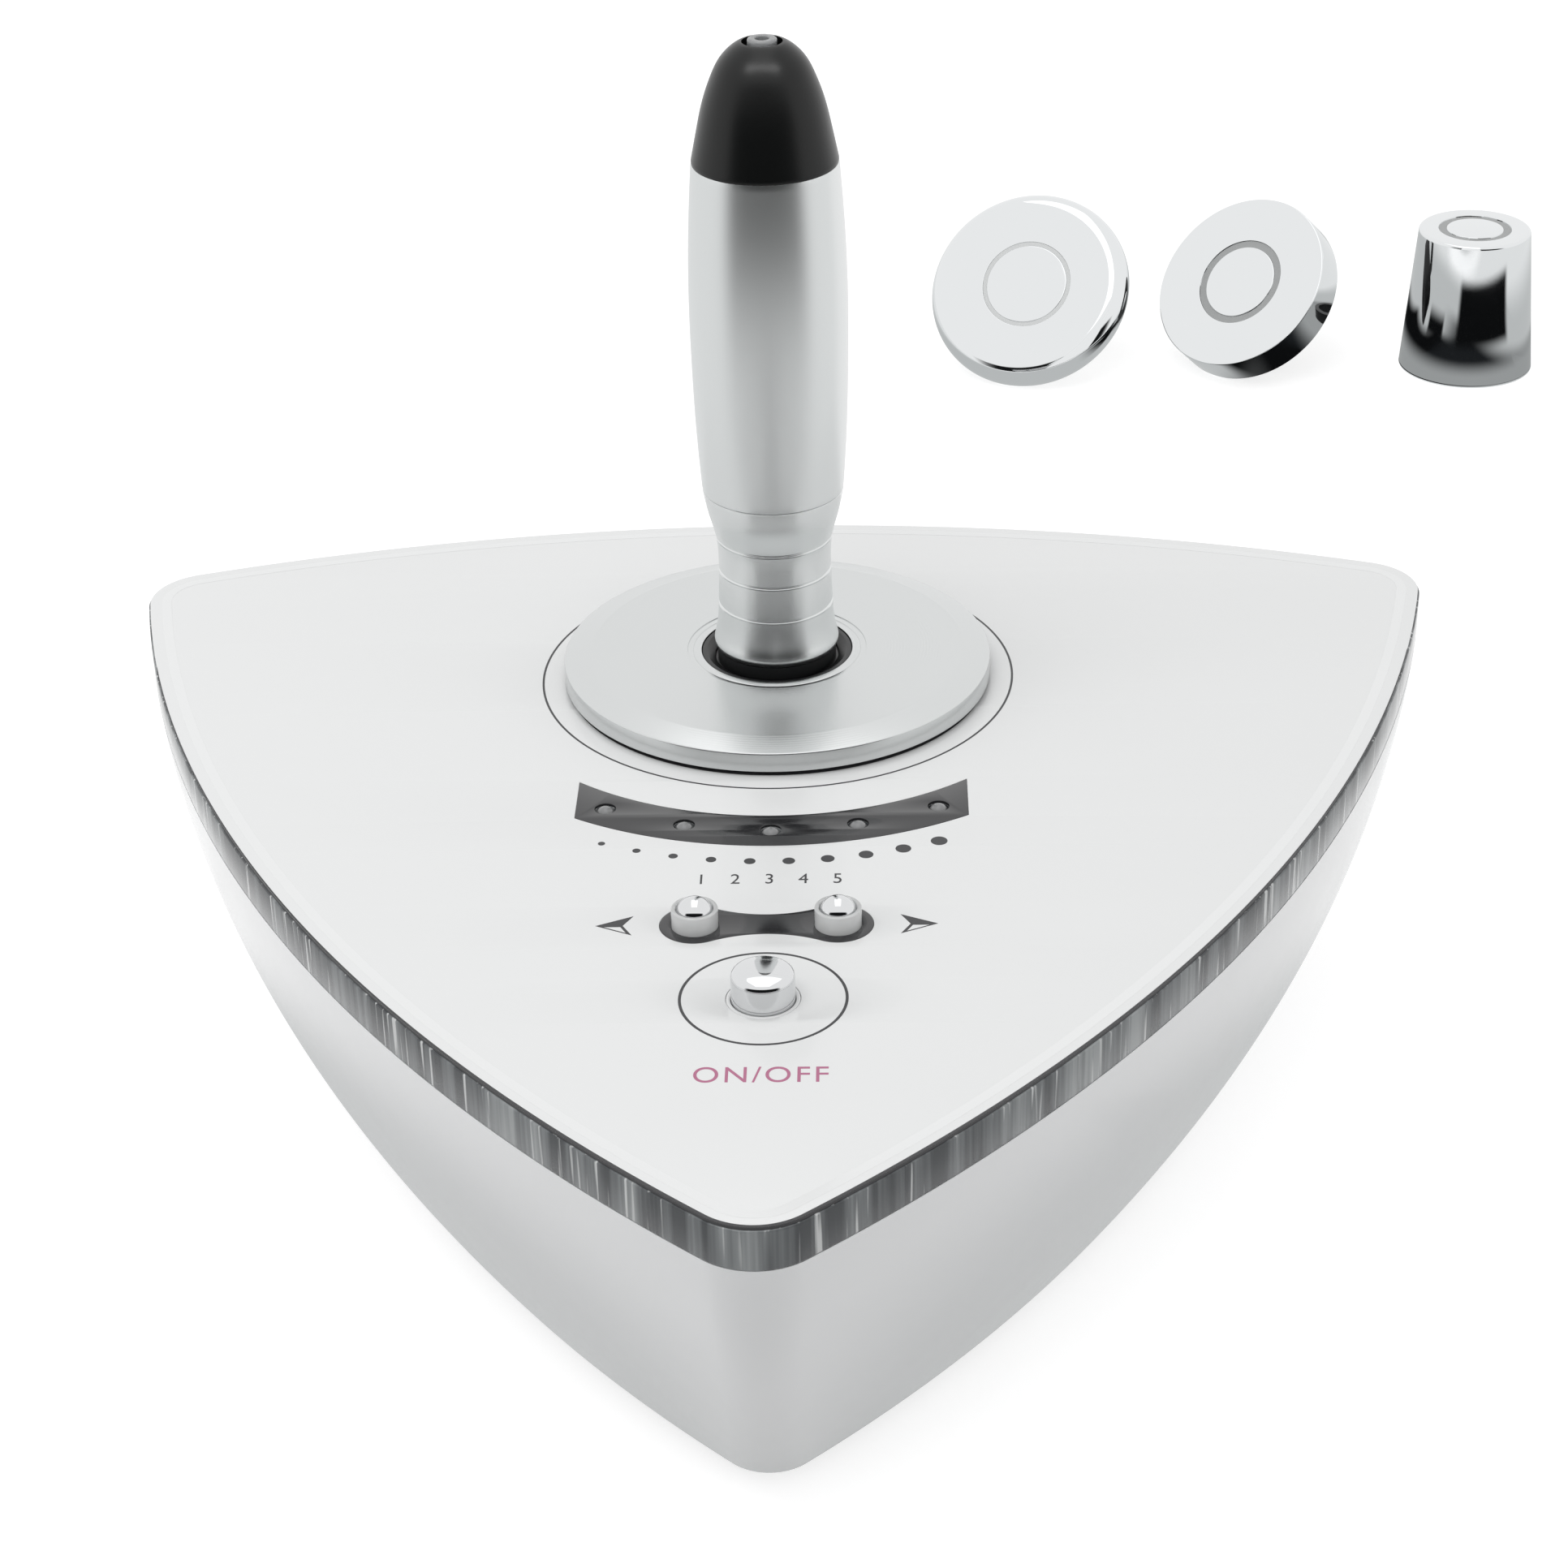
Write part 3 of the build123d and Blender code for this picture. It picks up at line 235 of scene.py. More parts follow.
def turned(outline: Sequence[Point], seat: Matrix, segments: int = 160, crease: float = CREASE) -> Mesh:
    """Turns a closed (radius, height) outline about a seat's Z.

    Args:
        outline: points in millimetres; a radius of zero is a pole on the axis.
        seat: the place of the outline's origin, in millimetres.
        segments: faces in one turn.
        crease: the sharpest smooth edge, in radians.

    Returns:
        A closed mesh in metres.
    """
    angles = np.linspace(0, 2 * math.pi, segments, endpoint=False)
    points: list[tuple[float, float, float]] = []
    starts: list[tuple[int, bool]] = []
    for radius, height in outline:
        pole = radius < 1e-4
        starts.append((len(points), pole))
        if pole:
            points.append((0.0, 0.0, height))
        else:
            points.extend((radius * math.cos(a), radius * math.sin(a), height) for a in angles)
    faces: list[tuple[int, ...]] = []
    for i, (first, first_pole) in enumerate(starts):
        second, second_pole = starts[(i + 1) % len(starts)]
        if first_pole and second_pole:
            continue
        if first_pole:
            faces += [(first, second + (k + 1) % segments, second + k) for k in range(segments)]
        elif second_pole:
            faces += [(first + k, first + (k + 1) % segments, second) for k in range(segments)]
        else:
            faces += ring_strip(first, second, segments)
    mesh = bpy.data.meshes.new("turned")
    mesh.from_pydata(points, [], faces)
    mesh.transform(Matrix.Scale(MM, 4) @ seat)
    finish_mesh(mesh, crease)
    return mesh


def sheet_mesh(outlines: Sequence[Sequence[Point]], foot: float, head: float, edge: float = 0.0) -> Mesh:
    """Fills closed outlines, the inner ones as holes, and gives the sheet a thickness.

    Args:
        outlines: the sheet's edge and its holes, in millimetres.
        foot: height of the sheet's underside.
        head: height of its upper side.
        edge: rounding of its edges.

    Returns:
        A closed mesh in metres.
    """
    flat = bpy.data.curves.new("flat", "CURVE")
    flat.dimensions = "2D"
    flat.fill_mode = "BOTH"
    flat.extrude = (head - foot) / 2 - edge
    flat.bevel_depth = edge
    flat.bevel_resolution = 2
    flat.offset = -edge
    for outline in outlines:
        line = flat.splines.new("POLY")
        line.points.add(len(outline) - 1)
        line.points.foreach_set("co", [v for x, y in outline for v in (x, y, 0.0, 1.0)])
        line.use_cyclic_u = True
    return flat_made_solid(flat, Vector((0, 0, (foot + head) / 2)))


def flat_made_solid(flat: bpy.types.Curve, move: Vector) -> Mesh:
    """Turns a flat curve or text, in millimetres, into a finished mesh at its place."""
    holder = bpy.data.objects.new("flat", flat)
    bpy.context.scene.collection.objects.link(holder)
    graph = bpy.context.evaluated_depsgraph_get()
    mesh = bpy.data.meshes.new_from_object(holder.evaluated_get(graph))
    bpy.data.objects.remove(holder)
    mesh.transform(Matrix.Scale(MM, 4) @ Matrix.Translation(move))
    mesh.materials.clear()
    finish_mesh(mesh)
    return mesh


def circle(x: float, y: float, radius: float, count: int = 96) -> list[Point]:
    """Points round a circle."""
    turns = [2 * math.pi * i / count for i in range(count)]
    return [(x + radius * math.cos(t), y + radius * math.sin(t)) for t in turns]


def arc(centre: Point, radius: float, first: float, last: float, count: int) -> list[Point]:
    """Points along an arc between two angles in radians."""
    turns = [first + (last - first) * i / (count - 1) for i in range(count)]
    return [(centre[0] + radius * math.cos(t), centre[1] + radius * math.sin(t)) for t in turns]


def cut(mesh: Mesh, cutters: Sequence[Mesh], operation: str = "DIFFERENCE") -> Mesh:
    """Cuts closed meshes out of a mesh, or adds them to it, and finishes the result.

    Args:
        mesh: the mesh that is cut.
        cutters: closed meshes, taken one after another.
        operation: DIFFERENCE cuts them out and UNION adds them.

    Returns:
        The finished mesh.
    """
    piece = new_piece("uncut", mesh)
    for cutter_mesh in cutters:
        cutter = new_piece("cutter", cutter_mesh)
        tool = piece.modifiers.new("cut", "BOOLEAN")
        tool.operation = operation
        tool.solver = "EXACT"
        tool.object = cutter
        graph = bpy.context.evaluated_depsgraph_get()
        mesh = bpy.data.meshes.new_from_object(piece.evaluated_get(graph))
        piece.modifiers.clear()
        piece.data = mesh
        bpy.data.objects.remove(cutter)
    bpy.data.objects.remove(piece)
    finish_mesh(mesh)
    return mesh


def joined(meshes: Sequence[Mesh]) -> Mesh:
    """One mesh that holds several, each as it is."""
    solid = bmesh.new()
    for mesh in meshes:
        solid.from_mesh(mesh)
    whole = bpy.data.meshes.new("joined")
    solid.to_mesh(whole)
    solid.free()
    whole.shade_smooth()
    whole.set_sharp_from_angle(angle=CREASE)
    return whole


def upright(x: float, y: float, height: float) -> Matrix:
    """A seat in millimetres whose Z is the frame's."""
    return Matrix.Translation((x, y, height))


def facing(origin: Vector, ahead: Vector) -> Matrix:
    """A seat in millimetres whose Z looks along a direction."""
    return Matrix.Translation(origin) @ ahead.to_track_quat("Z", "Y").to_matrix().to_4x4()


# ---------------------------------------------------------------- finishes


COAT_ROUGHNESS = 0.05
DRIFT_WIDTH = 25.0  # millimetres from patch to patch of a wandering gloss or colour
DRIFT_SPAN = (0.3, 0.7)
WAVE_REPEAT = 0.314  # a wave texture of this scale repeats once per unit


@dataclass(frozen=True)
class Finish:
    """A surface: its colour and gloss, and the relief that its making left.

    grain is the width of the relief in millimetres and depth its height; mottle is how far the
    roughness wanders, and shade how far the colour does.
    """

    name: str
    colour: str
    roughness: float
    metallic: float = 0.0
    ior: float = 1.5
    transmission: float = 0.0
    coat: float = 0.0
    grain: float = 1.0
    depth: float = 0.0
    mottle: float = 0.0
    shade: float = 0.0

    def material(self) -> bpy.types.Material:
        """Builds the material once and returns it each time."""
        made = bpy.data.materials.get(self.name)
        if made is None:
            made = bpy.data.materials.new(self.name)
            made.use_nodes = True
            tree = made.node_tree
            tree.nodes.clear()
            even = {
                "Base Color": linear(self.colour),
                "Roughness": self.roughness,
                "Metallic": self.metallic,
                "IOR": self.ior,
                "Transmission Weight": self.transmission,
                "Coat Weight": self.coat,
                "Coat Roughness": COAT_ROUGHNESS,
            }
            shader = add_node(tree, "ShaderNodeBsdfPrincipled", inputs=even)
            add_node(tree, "ShaderNodeOutputMaterial", inputs={"Surface": shader.outputs[0]})
            self.relief(tree, shader)
            made.diffuse_color = linear(self.colour)
        return made

    def relief(self, tree: Tree, shader: bpy.types.Node) -> None:
        """Adds the grain, the wandering gloss and the wandering colour."""
        spot = object_place(tree)
        inputs = {"Vector": spot, "Scale": 1 / self.grain, "Detail": 3}
        self.raise_by(tree, shader, add_node(tree, "ShaderNodeTexNoise", inputs=inputs).outputs["Fac"])
        self.wander(tree, shader, spot)

    def raise_by(self, tree: Tree, shader: bpy.types.Node, height: Socket) -> None:
        """Lets a height from 0 to 1 stand out of the surface by the finish's depth."""
        if self.depth > 0:
            inputs = {"Height": height, "Distance": self.depth * MM, "Strength": 1.0}
            bump = add_node(tree, "ShaderNodeBump", inputs=inputs)
            tree.links.new(bump.outputs[0], shader.inputs["Normal"])

    def wander(self, tree: Tree, shader: bpy.types.Node, spot: Socket) -> None:
        """Lets the roughness and the colour drift over wide patches."""
        inputs = {"Vector": spot, "Scale": 1 / DRIFT_WIDTH, "Detail": 4}
        drift = add_node(tree, "ShaderNodeTexNoise", inputs=inputs).outputs["Fac"]
        if self.mottle > 0:
            low, high = max(self.roughness - self.mottle, 0.0), self.roughness + self.mottle
            span = {"From Min": DRIFT_SPAN[0], "From Max": DRIFT_SPAN[1], "To Min": low, "To Max": high}
            gloss = add_node(tree, "ShaderNodeMapRange", inputs={"Value": drift, **span})
            tree.links.new(gloss.outputs[0], shader.inputs["Roughness"])
        if self.shade > 0:
            *colour, alpha = linear(self.colour)
            shaded = [level * (1 - self.shade) for level in colour]
            inputs = {"Factor": drift, 6: (*colour, alpha), 7: (*shaded, alpha)}
            tone = add_node(tree, "ShaderNodeMix", {"data_type": "RGBA"}, inputs)
            tree.links.new(tone.outputs[2], shader.inputs["Base Color"])


@dataclass(frozen=True)
class TurnedFinish(Finish):
    """A lathe-turned face: fine rings about an upright axis through centre, one every pitch."""

    centre: Corner = (0.0, 0.0, 0.0)
    pitch: float = 0.5

    def relief(self, tree: Tree, shader: bpy.types.Node) -> None:
        """Adds the turning rings and the wandering gloss."""
        spot = object_place(tree, self.centre)
        settings = {"wave_type": "RINGS", "rings_direction": "Z", "wave_profile": "SIN"}
        uneven = {"Distortion": 0.6, "Detail": 2, "Detail Scale": 0.4}
        inputs = {"Vector": spot, "Scale": WAVE_REPEAT / self.pitch, **uneven}
        rings = add_node(tree, "ShaderNodeTexWave", settings, inputs)
        self.raise_by(tree, shader, rings.outputs["Fac"])
        self.wander(tree, shader, spot)


@dataclass(frozen=True)
class BlastedFinish(Finish):
    """A blasted tube: its grain is stretched round the upright axis through centre."""

    centre: Corner = (0.0, 0.0, 0.0)
    stretch: Corner = (0.35, 0.35, 1.0)

    def relief(self, tree: Tree, shader: bpy.types.Node) -> None:
        """Adds the stretched grain and the wandering gloss."""
        spot = object_place(tree, self.centre, self.stretch)
        inputs = {"Vector": spot, "Scale": 1 / self.grain, "Detail": 4}
        self.raise_by(tree, shader, add_node(tree, "ShaderNodeTexNoise", inputs=inputs).outputs["Fac"])
        self.wander(tree, shader, spot)


@dataclass(frozen=True)
class LayeredFinish(Finish):
    """Thin plates or turns stacked along one axis, one every pitch millimetres."""

    axis: str = "X"
    pitch: float = 0.5

    def relief(self, tree: Tree, shader: bpy.types.Node) -> None:
        """Adds the lines between the layers."""
        spot = object_place(tree)
        settings = {"wave_type": "BANDS", "bands_direction": self.axis, "wave_profile": "SAW"}
        inputs = {"Vector": spot, "Scale": WAVE_REPEAT / self.pitch, "Distortion": 0.2}
        bands = add_node(tree, "ShaderNodeTexWave", settings, inputs)
        self.raise_by(tree, shader, bands.outputs["Fac"])
        self.wander(tree, shader, spot)


@dataclass(frozen=True)
class PaintedReflectionFinish(Finish):
    """A clear plate seen through its sawn edge, with painted reflections: upright blocks and streaks, dark
    to light.

    dark and light are the outer tones of the painted reflections' blocks, whose width is in millimetres,
    and bright is the tone of the painted glints, the thin lines of glint width that run here and there
    between them. stops are the levels of noise at which the blocks have their three tones, and glints
    those that make a line.
    """

    dark: str = "4B4E51"
    light: str = "AEB2B3"
    bright: str = "E4E6E6"
    width: float = 8.0
    glint: float = 1.1
    stretch: Corner = (1.0, 1.0, 0.04)
    stops: Corner = (0.42, 0.54, 0.66)
    glints: Point = (0.62, 0.72)

    def relief(self, tree: Tree, shader: bpy.types.Node) -> None:
        """Adds the painted reflections, blocks and streaks, to the colour and a little of them to the
        surface.
        """
        spot = object_place(tree, stretch=self.stretch)
        inputs = {"Vector": spot, "Scale": 1 / self.width, "Detail": 4, "Roughness": 0.65}
        blocks = add_node(tree, "ShaderNodeTexNoise", inputs=inputs).outputs["Fac"]
        # painted reflection: the blocks' three tones stand for what the plate's edge reflects and bends
        ramp = add_node(tree, "ShaderNodeValToRGB", inputs={"Fac": blocks})
        stops = ramp.color_ramp.elements
        stops[0].position, middle, stops[1].position = self.stops
        stops.new(middle)
        for stop, tone in zip(stops, (self.dark, self.colour, self.light)):
            stop.color = linear(tone)
        inputs = {"Vector": spot, "Scale": 1 / self.glint, "Detail": 1}
        streaks = add_node(tree, "ShaderNodeTexNoise", inputs=inputs).outputs["Fac"]
        inputs = {"Value": streaks, "From Min": self.glints[0], "From Max": self.glints[1]}
        lines = add_node(tree, "ShaderNodeMapRange", inputs=inputs)
        # painted glints: bright thin lines laid over the painted reflection
        inputs = {"Factor": lines, 6: ramp, 7: linear(self.bright)}
        tone = add_node(tree, "ShaderNodeMix", {"data_type": "RGBA"}, inputs)
        tree.links.new(tone.outputs[2], shader.inputs["Base Color"])
        self.raise_by(tree, shader, blocks)


HOLDER_AXIS = (0.0, 32.2, 0.0)

# White ABS, injection moulded in a polished tool: bright, glossy and very slightly uneven.
SHELL_WHITE = Finish("moulded_white_abs", "E9EAEB", 0.22, coat=0.35, grain=14.0, depth=0.02, mottle=0.05)
# Light grey ABS, spark-eroded tool: a fine matt grain.
COVER_GREY = Finish("moulded_grey_abs", "8F9193", 0.5, grain=0.8, depth=0.05, mottle=0.06)
# Thermoplastic rubber: dark, soft and dull.
FOOT_RUBBER = Finish("moulded_rubber", "26272A", 0.75, grain=0.5, depth=0.04, mottle=0.05)
# Cast acrylic with polished edges: clear, with a soft sheen; its grey edge-on blocks and streaks are
# painted reflections.
ACRYLIC_WITH_PAINTED_REFLECTIONS = PaintedReflectionFinish("cast_acrylic", "7E8284", 0.06, ior=1.49, transmission=0.25, depth=0.03)
# Polyester sheet, screen printed white on its back: even, glossy and very slightly wavy.
PANEL_WHITE = Finish("printed_polyester", "E8E9E9", 0.16, coat=0.3, grain=60.0, depth=0.03, mottle=0.03)
# The same sheet where the print stops short of its edge: a paler border.
BORDER_WHITE = Finish("unprinted_border", "ECEDED", 0.14, coat=0.3, grain=60.0, depth=0.03, mottle=0.03)
# Smoked acrylic inlay: nearly black, mirror-flat.
PANEL_DARK = Finish("smoked_acrylic", "28282A", 0.12, coat=0.3, grain=30.0, depth=0.01, mottle=0.03)
# Screen-print ink: thin, flat and a little dull.
INK_GREY = Finish("screen_ink_grey", "3C3C3E", 0.45, grain=0.3, depth=0.002, shade=0.08)
INK_PINK = Finish("screen_ink_pink", "B96F8F", 0.45, grain=0.3, depth=0.002, shade=0.08)
# Chromed ABS and chromed brass: a near-perfect mirror with a faint orange peel.
CHROME = Finish("bright_chrome", "DEDFE0", 0.05, 1.0, grain=6.0, depth=0.004, mottle=0.015)
HEAD_CHROME = Finish("mirror_chrome", "E6E8E9", 0.04, 1.0, grain=8.0, depth=0.004, mottle=0.012)
# Turned aluminium, satin anodised: rings from the lathe under a soft grey shine.
HOLDER_ALUMINIUM = TurnedFinish(
    "turned_aluminium", "D6D8D8", 0.26, 1.0, depth=0.004, mottle=0.01, centre=HOLDER_AXIS, pitch=0.6
)
# Aluminium tube, very finely blasted and clear anodised: even, with a broad soft shine.
GRIP_ALUMINIUM = BlastedFinish("blasted_aluminium", "E0E2E2", 0.3, 1.0, mottle=0.008, centre=HOLDER_AXIS)
# The neck's aluminium: a little grain, and glossier than the tube.
NECK_ALUMINIUM = BlastedFinish(
    "fine_blasted_aluminium", "E2E4E4", 0.26, 1.0, grain=0.5, depth=0.002, mottle=0.008, centre=HOLDER_AXIS
)
# Black ABS, satin-textured: deep black with wide, dim highlights.
CAP_BLACK = Finish("satin_black_abs", "0B0C0C", 0.3, ior=1.4, grain=0.5, depth=0.008, mottle=0.04)
# Soft clear PVC: milky, lets some light through.
BUSH_CLEAR = Finish("clear_pvc", "D8DADB", 0.18, ior=1.52, transmission=0.65, grain=2.0, depth=0.02)
# Black ABS, moulded: the socket and the sockets in the rear wall.
SOCKET_BLACK = Finish("moulded_black_abs", "191A1B", 0.32, grain=0.9, depth=0.01, mottle=0.04)
# Water-clear epoxy of an unlit lamp over its grey cup.
LAMP_CLEAR = Finish(
    "lamp_epoxy", "8C8D8E", 0.12, ior=1.53, transmission=0.25, coat=0.6, grain=2.0, depth=0.01
)
# Clear moulded acrylic: a collar that bends the light round a button and glints at its edges.
COLLAR_CLEAR = Finish(
    "moulded_clear_acrylic", "F6F7F7", 0.03, ior=1.49, transmission=0.45, grain=4.0, depth=0.005
)
# The same acrylic flush with the white sheet, which shows through it.
COLLAR_MILKY = Finish("backed_clear_acrylic", "DFE0E0", 0.12, coat=0.4, grain=4.0, depth=0.01)
# Acetal rings, turned: matt and slightly waxy, in the shades of the three heads.
GREY_ACETAL = Finish("turned_acetal", "A8AAAA", 0.4, grain=0.6, depth=0.01, shade=0.06)
PALE_ACETAL = Finish("turned_pale_acetal", "D4D6D6", 0.32, grain=0.6, depth=0.01, shade=0.03)
# Glass-filled black nylon, moulded: the couplings.
BLACK_NYLON = Finish("moulded_black_nylon", "1C1D1F", 0.45, grain=0.7, depth=0.02, mottle=0.05)
# Zinc-plated steel: a cool, slightly uneven shine.
SCREW_STEEL = Finish("plated_steel", "B9BBBE", 0.26, 1.0, grain=0.6, depth=0.01, mottle=0.06)
# Brass turned on a lathe: yellow, with fine rings.
CONTACT_BRASS = TurnedFinish(
    "turned_brass", "D8B25A", 0.22, 1.0, depth=0.01, mottle=0.05, centre=HOLDER_AXIS, pitch=0.3
)
# Closed-cell foam strip: dull, pitted and blotched.
GASKET_FOAM = Finish("closed_cell_foam", "77797B", 0.85, grain=0.5, depth=0.08, shade=0.15)
# Moulded switch housings and pillars: plain black, half gloss.
SWITCH_BLACK = Finish("switch_housing", "1E1F21", 0.4, grain=0.6, depth=0.02, mottle=0.05)
# Circuit board under green solder mask: glossy, with the tracks showing as faint ridges.
BOARD_GREEN = LayeredFinish(
    "solder_mask", "1F6B43", 0.28, coat=0.3, depth=0.012, shade=0.25, axis="Y", pitch=1.6
)
# Transformer core: thin steel plates in a stack.
CORE_STEEL = LayeredFinish(
    "laminated_steel", "6E7175", 0.42, 1.0, depth=0.06, mottle=0.06, axis="Y", pitch=0.5
)
# Enamelled copper wire, wound: warm and shiny.
WINDING_COPPER = Finish("enamelled_wire", "B5652E", 0.25, 1.0, grain=0.5, depth=0.02, mottle=0.05)
# Extruded aluminium: fine lines from the die.
SINK_ALUMINIUM = LayeredFinish(
    "extruded_aluminium", "AEB1B4", 0.34, 1.0, depth=0.02, mottle=0.05, axis="X", pitch=0.7
)
# Epoxy that transistors are moulded in: black and matt.
COMPONENT_BLACK = Finish("moulded_epoxy", "202124", 0.5, grain=0.5, depth=0.02, mottle=0.06)
# Shrunk plastic sleeve of a capacitor: dark blue, glossy.
CAN_SLEEVE = Finish("shrunk_sleeve", "23395C", 0.3, coat=0.3, grain=3.0, depth=0.03, shade=0.12)
# Flat cable: grey PVC with a groove between every two wires.
RIBBON_GREY = LayeredFinish("ribbon_pvc", "A3A5A8", 0.45, depth=0.12, shade=0.08, axis="X", pitch=1.27)
# PVC-covered wire: red and smooth.
WIRE_RED = Finish("wire_pvc", "A32A28", 0.4, grain=1.0, depth=0.02, shade=0.1)

SLOT_FINISHES: dict[str, Finish] = {
    "shell_white": SHELL_WHITE,
    "cover_grey": COVER_GREY,
    "foot_rubber": FOOT_RUBBER,
    "screw_steel": SCREW_STEEL,
    "clear_acrylic": ACRYLIC_WITH_PAINTED_REFLECTIONS,
    "gasket_foam": GASKET_FOAM,
    "panel_white": PANEL_WHITE,
    "panel_dark": PANEL_DARK,
    "lamp_clear": LAMP_CLEAR,
    "guide_clear": COLLAR_CLEAR,
    "button_chrome": CHROME,
    "switch_black": SWITCH_BLACK,
    "board_green": BOARD_GREEN,
    "core_steel": CORE_STEEL,
    "winding_copper": WINDING_COPPER,
    "sink_aluminium": SINK_ALUMINIUM,
    "component_black": COMPONENT_BLACK,
    "can_sleeve": CAN_SLEEVE,
    "ribbon_grey": RIBBON_GREY,
    "wire_red": WIRE_RED,
    "socket_black": SOCKET_BLACK,
    "nut_steel": SCREW_STEEL,
    "holder_aluminium": HOLDER_ALUMINIUM,
    "grip_aluminium": GRIP_ALUMINIUM,
    "cap_black": CAP_BLACK,
    "bush_clear": BUSH_CLEAR,
    "contact_brass": CONTACT_BRASS,
    "head_chrome": HEAD_CHROME,
    "head_insulator": GREY_ACETAL,
    "head_coupling": BLACK_NYLON,
}


class Body(Enum):
    """The bodies that pieces ride on."""

    BASE = "base"
    HANDPIECE = "handpiece"
    POWER_KEY = "power_key"
    MINUS_KEY = "minus_key"
    PLUS_KEY = "plus_key"
    LARGE_HEAD = "large_head"
    MEDIUM_HEAD = "medium_head"
    SMALL_HEAD = "small_head"


def deliver(name: str, mesh: Mesh, finish: Finish, body: Body, slot: str, *stands_for: str) -> Piece:
    """Makes a piece, gives it its finish and its body, and hides the CAD nodes that it stands for.

    Args:
        name: the piece's name.
        mesh: its mesh, in its place.
        finish: what its surface is.
        body: the body that it moves with.
        slot: the record's material slot; not used.
        stands_for: CAD nodes that it replaces.

    Returns:
        The new piece.
    """
    piece = new_piece(name, mesh)
    mesh.materials.clear()
    mesh.materials.append(finish.material())
    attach(piece, body.value)
    if stands_for:
        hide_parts(*stands_for)
    log.info("%s: %d faces, rides on %s", name, len(mesh.polygons), body.value)
    return piece


# ---------------------------------------------------------------- the base's outline


@dataclass(frozen=True)
class BaseForm:
    """The three-sided form of the base: bowed sides, round corners and a wall that swells."""

    reach: float = 100.0
    side_radius: float = 359.8
    corner_radius: float = 12.3
    foot_side_radius: float = 315.0
    foot_corner_radius: float = 9.2
    side_inset: float = 24.6
    side_bulge: float = 5.2
    foot: float = 2.0
    head: float = 70.0
    least_corner: float = 1.5
    side_steps: int = 96
    corner_steps: int = 22

    def sizes(self, height: float) -> tuple[float, float, float]:
        """Reach, side radius and corner radius of the skin at a height above the table."""
        down = (self.head - height) / (self.head - self.foot)
        inset = self.side_inset * down - 4 * self.side_bulge * down * (1 - down)
        sides = self.side_radius + (self.foot_side_radius - self.side_radius) * down
        corners = self.corner_radius + (self.foot_corner_radius - self.corner_radius) * down
        return self.reach - inset, sides, corners

    def ring(self, height: float, inward: float = 0.0) -> list[Point]:
        """Points round the skin at a height, moved inwards, one third of the turn after another.

        Args:
            height: above the table.
            inward: how far the outline is moved into the base.

        Returns:
            Points anticlockwise from the left of the front corner.
        """
        reach, sides, corners = self.sizes(height)
        reach, sides, corners = reach - inward, sides - inward, max(corners - inward, self.least_corner)
        bow = sides - reach
        centre = Vector((bow * math.cos(math.radians(30)), bow * math.sin(math.radians(30))))
        corner_y = centre.y - math.sqrt((sides - corners) ** 2 - centre.x**2)
        away = math.atan2(corner_y - centre.y, -centre.x)
        lead = away % (2 * math.pi)
        start = 3 * math.pi - lead
        third = arc((0.0, corner_y), corners, lead, start, self.corner_steps)
        side_middle = math.radians(330)
        third += arc((-centre.x, centre.y), sides, start, 2 * side_middle - start, self.side_steps)[1:-1]
        spins = [Matrix.Rotation(math.radians(turn), 2) for turn in (0, 120, 240)]
        return [tuple(spin @ Vector(p)) for spin in spins for p in third]


FORM = BaseForm()
TOP = 78.0


# ---------------------------------------------------------------- the base


